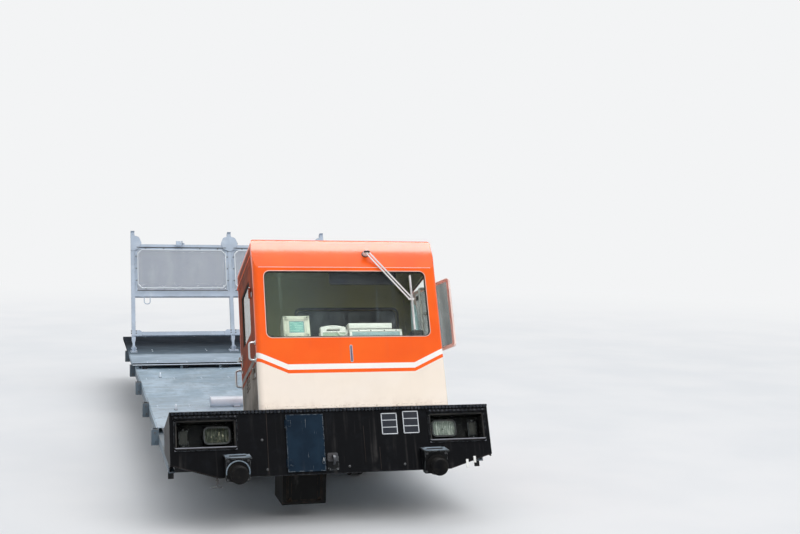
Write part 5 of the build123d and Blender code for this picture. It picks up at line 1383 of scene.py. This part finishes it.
def gate_trim():
    """Latch, pane borders, bolts, post caps and sill strips of the load gate."""
    posts, panes = (-1.290, 0.0, 1.290), (-0.645, 0.645)
    hang("gate_latch", gate_grey,
         (plate(0.060, 0.034, 0.004, 0.004), gate_face(-0.640, 1.497, 0.0245)),
         (block((0.064, 0.064, 0.004), 0.0015), gate_face(-0.690, 1.508, 0.026)),
         (rod(bent(((0, 0, 0.008), (0, 0.022, 0.008), (0, 0.050, 0.008)), 0.004), 0.006, 10),
          gate_face(-0.640, 1.490, 0.026)),
         (disc(0.011, 0.012, 0.003, 20), gate_top(-0.640, 0.008, 1.538)),
         *screws([gate_face(-0.640 + step * 0.022, 1.497, 0.0285) for step in BOTH],
                 0.004, 0.003))
    hang("pane_border_lines", gate_line, *[
        (band(1.176, 0.552, 0.055, 0.011, 0.004, 0.001, 1), gate_face(x, 1.149, 0.006))
        for x in panes])
    clips = [gate_face(x - 0.480 + step * 0.240, w, 0.0175) for x in panes for step in range(5)
             for w in (0.862, 1.436)]
    clips += [gate_face(x + flip * 0.603, w, 0.0175) for x in panes
              for w in (0.98, 1.149, 1.318) for flip in BOTH]
    clips += [gate_face(x + flip * 0.0308, w, 0.033) for x in posts for flip in BOTH
              for w in (0.245, 0.275)]
    hang("gate_bolts", fixings, *bolts(clips, 0.006, 0.005))
    hang("gate_caps_and_feet", gate_grey,
         *[(block((0.050, 0.050, 0.004), 0.0015), gate_top(x, 0.025, 1.691)) for x in posts],
         *bolts([at(x + dx, 2.320 + dy, 0.659) for x in posts
                 for dx, dy in corners(0.032 if x else 0.050, 0.052)], 0.007, 0.006))
    hang("pane_sill_strips", seal_rubber, *[
        (plate(1.190, 0.010, 0.002, 0.003, 0.001), gate_face(x, w, 0.0175))
        for x in panes for w in (0.838, 1.450)])


# Underframe
def running_gear():
    """Bolts and covers of the axle boxes, hub rings, pipes and the rear end."""
    heads, covers, washers = [], [], []
    dome = ((0.0, 0.008), (0.020, 0.007), (0.034, 0.002), (0.040, -0.001))
    for y, side in [(y, side) for y in AXLES_Y for side in BOTH]:
        cap = outboard(side, side * 0.914, y, AXLE_Z)
        covers += [(turned(dome), cap),
                   (block((0.052, 0.120, 0.010), 0.003), at(side * 0.800, y, AXLE_Z + 0.094))]
        heads += bolts([cap @ turn(sixth * pi / 3) @ at(0.054, 0, 0) for sixth in range(6)],
                       0.008, 0.007)
        for flip in BOTH:
            washers.append((ring(0.050, 0.056, 0.008),
                            at(side * 0.800, y + flip * 0.148, AXLE_Z - 0.0095)))
            heads += [part for radius, along, z in ((0.008, 0.190, AXLE_Z - 0.030),
                                                    (0.009, 0.217, AXLE_Z - 0.080),
                                                    (0.009, 0.255, 0.380))
                      for part in bolts([outboard(side, side * 0.855, y + flip * along, z)],
                                        radius, 0.007)]
    hang("axle_box_bolts", fixings, *heads)
    hang("axle_box_covers", iron, *covers)
    hang("spring_cups", iron, *washers)
    collar = ((0.0745, 0.0), (0.0745, 0.004), (0.080, 0.006), (0.088, 0.006), (0.092, 0.003),
              (0.092, -0.002))
    for body, y in zip(("front_wheelset", "rear_wheelset"), AXLES_Y):
        rings = []
        for x, out in [(x, out) for x in (0.566, -0.566) for out in BOTH]:
            web = outboard(out, x + out * 0.013, y, AXLE_Z)
            rings += [(turned(collar, 40), outboard(out, x + out * 0.085, y, AXLE_Z)),
                      *bolts([web @ turn(eighth * pi / 4 + 0.2) @ at(0.122, 0, -0.0005)
                              for eighth in range(8)], 0.007, 0.006)]
        hang(body + "_hub_rings", iron, *rings, body=body)
    hang("brake_pipes", frame_dark,
         *[(rod(((x, -3.550, z), (x, 4.000, z)), 0.009, 10), at(0, 0, 0))
           for x, z in ((-0.330, 0.425), (-0.300, 0.425), (0.300, 0.420))],
         *[(block((wide, 0.024, 0.006), 0.002), at(x, y + 0.004, z))
           for y in (-3.22, -2.67, -1.57, -0.62, 0.33, 1.28, 2.03, 3.23)
           for wide, x, z in ((0.100, -0.315, 0.4345), (0.050, 0.300, 0.4295))])
    collar = ((0.0275, 0.0), (0.034, 0.0), (0.036, 0.002), (0.034, 0.004), (0.0275, 0.004),
              (0.0275, 0.0))
    hang("rear_headstock_bolts", fixings,
         *bolts([upright(0, 4.139, 0.455, 1) @ at(dx, dz, 0) for dx, dz in corners(0.085, 0.036)],
                0.010, 0.009),
         *bolts([upright(0, 4.123, 0.455, 1) @ at(-1.17 + step * 0.26, 0.045, 0)
                 for step in range(10)], 0.007, 0.006),
         (turned(collar), at(0, 4.251, 0.480)))
    sill_end = frame_of(ACROSS, PLUMB, -UPHILL, Vector((0, -3.9080, 0.4600)) + UPHILL * 0.120)
    hang("sill_end_plates", frame_dark, *[
        (plate(0.046, 0.068, 0.004, 0.004), at(side * 1.285, 0, 0) @ sill_end) for side in BOTH])
    gear = []
    for y in (-0.627, 0.323):
        gear += [*bolts([upright(x, y - 0.0390, 0.175) for x in (0.506, 0.626)], 0.010, 0.008),
                 (ring(0.0435, 0.050, 0.012), outboard(1, 0.612, y, 0.325))]
    hang("brake_bolts", fixings, *gear)


for make in (headstock_trim, lamps, cover_and_hook, buffer_trim, window_trims, cab_front_trim,
             wiper_trim, grips_and_door, sash_trim, desk_fittings, phone, handset_cord,
             cab_interior, seat, deck_trim, gate_trim, running_gear):
    make()


# Studio
def seen_rays(g):
    """1 for rays that show a surface itself, 0 for those that only light things."""
    rays = g.add("ShaderNodeLightPath").outputs
    return g.math("MAXIMUM", rays["Is Camera Ray"],
                  g.math("MAXIMUM", rays["Is Glossy Ray"], rays["Is Transmission Ray"]))


def set_camera():
    """The camera, in front of the car and a little to its left."""
    eye = Vector((-2.0235, -13.203, 2.5556))
    forward = Vector((0.26587, 0.96277, -0.04894)).normalized()
    right = forward.cross(Vector((-0.00535, 0.05224, 0.99862))).normalized()
    view = bpy.data.cameras.new("camera")
    view.lens = 52.92
    view.sensor_width = 36
    view.clip_end = 200
    scene.camera = thing_of("camera", view)
    scene.camera.matrix_world = frame_of(right, right.cross(forward), -forward, eye)


def lay_floor():
    """A pale floor that fades into the backdrop."""
    material, g, shader = finish("studio_floor")
    here = g.here()
    g.feed(shader, {
        "Base Color": g.mix(g.span(g.noise(here, 0.6), 0.3, 0.7), tint(226, 227, 228),
                            tint(232, 232, 232)), "Roughness": 0.8})
    pale = g.add("ShaderNodeEmission", {"Color": tint(*BACKDROP), "Strength": 1.0})
    far = g.times(g.span(g.vector("LENGTH", here, out=1), 7.0, 26.0), seen_rays(g))
    g.surface("Material Output", far, shader, pale)
    form = bmesh.new()
    bmesh.ops.create_circle(form, cap_ends=True, radius=90, segments=64)
    mesh = mesh_of("studio_floor", form)
    mesh.materials.append(material)
    thing_of("studio_floor", mesh)


def fill_air():
    """Soft daylight from the air, and a plain backdrop."""
    world = bpy.data.worlds.new("studio_air")
    world.use_nodes = True
    g = Graph(world.node_tree)
    sky = world.node_tree.nodes["Background"]
    up = g.split(g.add("ShaderNodeTexCoord").outputs["Generated"])[2]
    g.feed(sky, {"Color": g.mix(g.span(up, -0.1, 0.5), tint(206, 208, 208), tint(240, 244, 250)),
                 "Strength": 0.62})
    plain = g.add("ShaderNodeBackground", {"Color": tint(*BACKDROP), "Strength": 1.0})
    g.surface("World Output", seen_rays(g), sky, plain)
    scene.world = world


def hang_lamps():
    """Soft suns and a light panel over the cab's forehead."""
    for name, aim, soft, power in (("key", (42, 0, 30), 50, 1.50),
                                   ("fill", (52, 0, -55), 60, 0.16),
                                   ("back", (50, 0, 170), 60, 0.32)):
        lamp = bpy.data.lights.new(name, "SUN")
        lamp.angle = radians(soft)
        lamp.energy = power
        thing = thing_of(name, lamp)
        thing.rotation_euler = [radians(angle) for angle in aim]
        thing.visible_glossy = name == "back"
        thing.visible_transmission = False
    lamp = bpy.data.lights.new("softbox", "AREA")
    lamp.shape = "RECTANGLE"
    lamp.size, lamp.size_y = 6.4, 3.2
    lamp.energy = 1400
    thing = thing_of("softbox", lamp)
    thing.matrix_world = at(2.0, -2.80, 8.2) @ turn(radians(11), "X")
    thing.visible_diffuse = False
    thing.visible_transmission = False


set_camera()
lay_floor()
fill_air()
hang_lamps()
scene.view_settings.view_transform = "Standard"
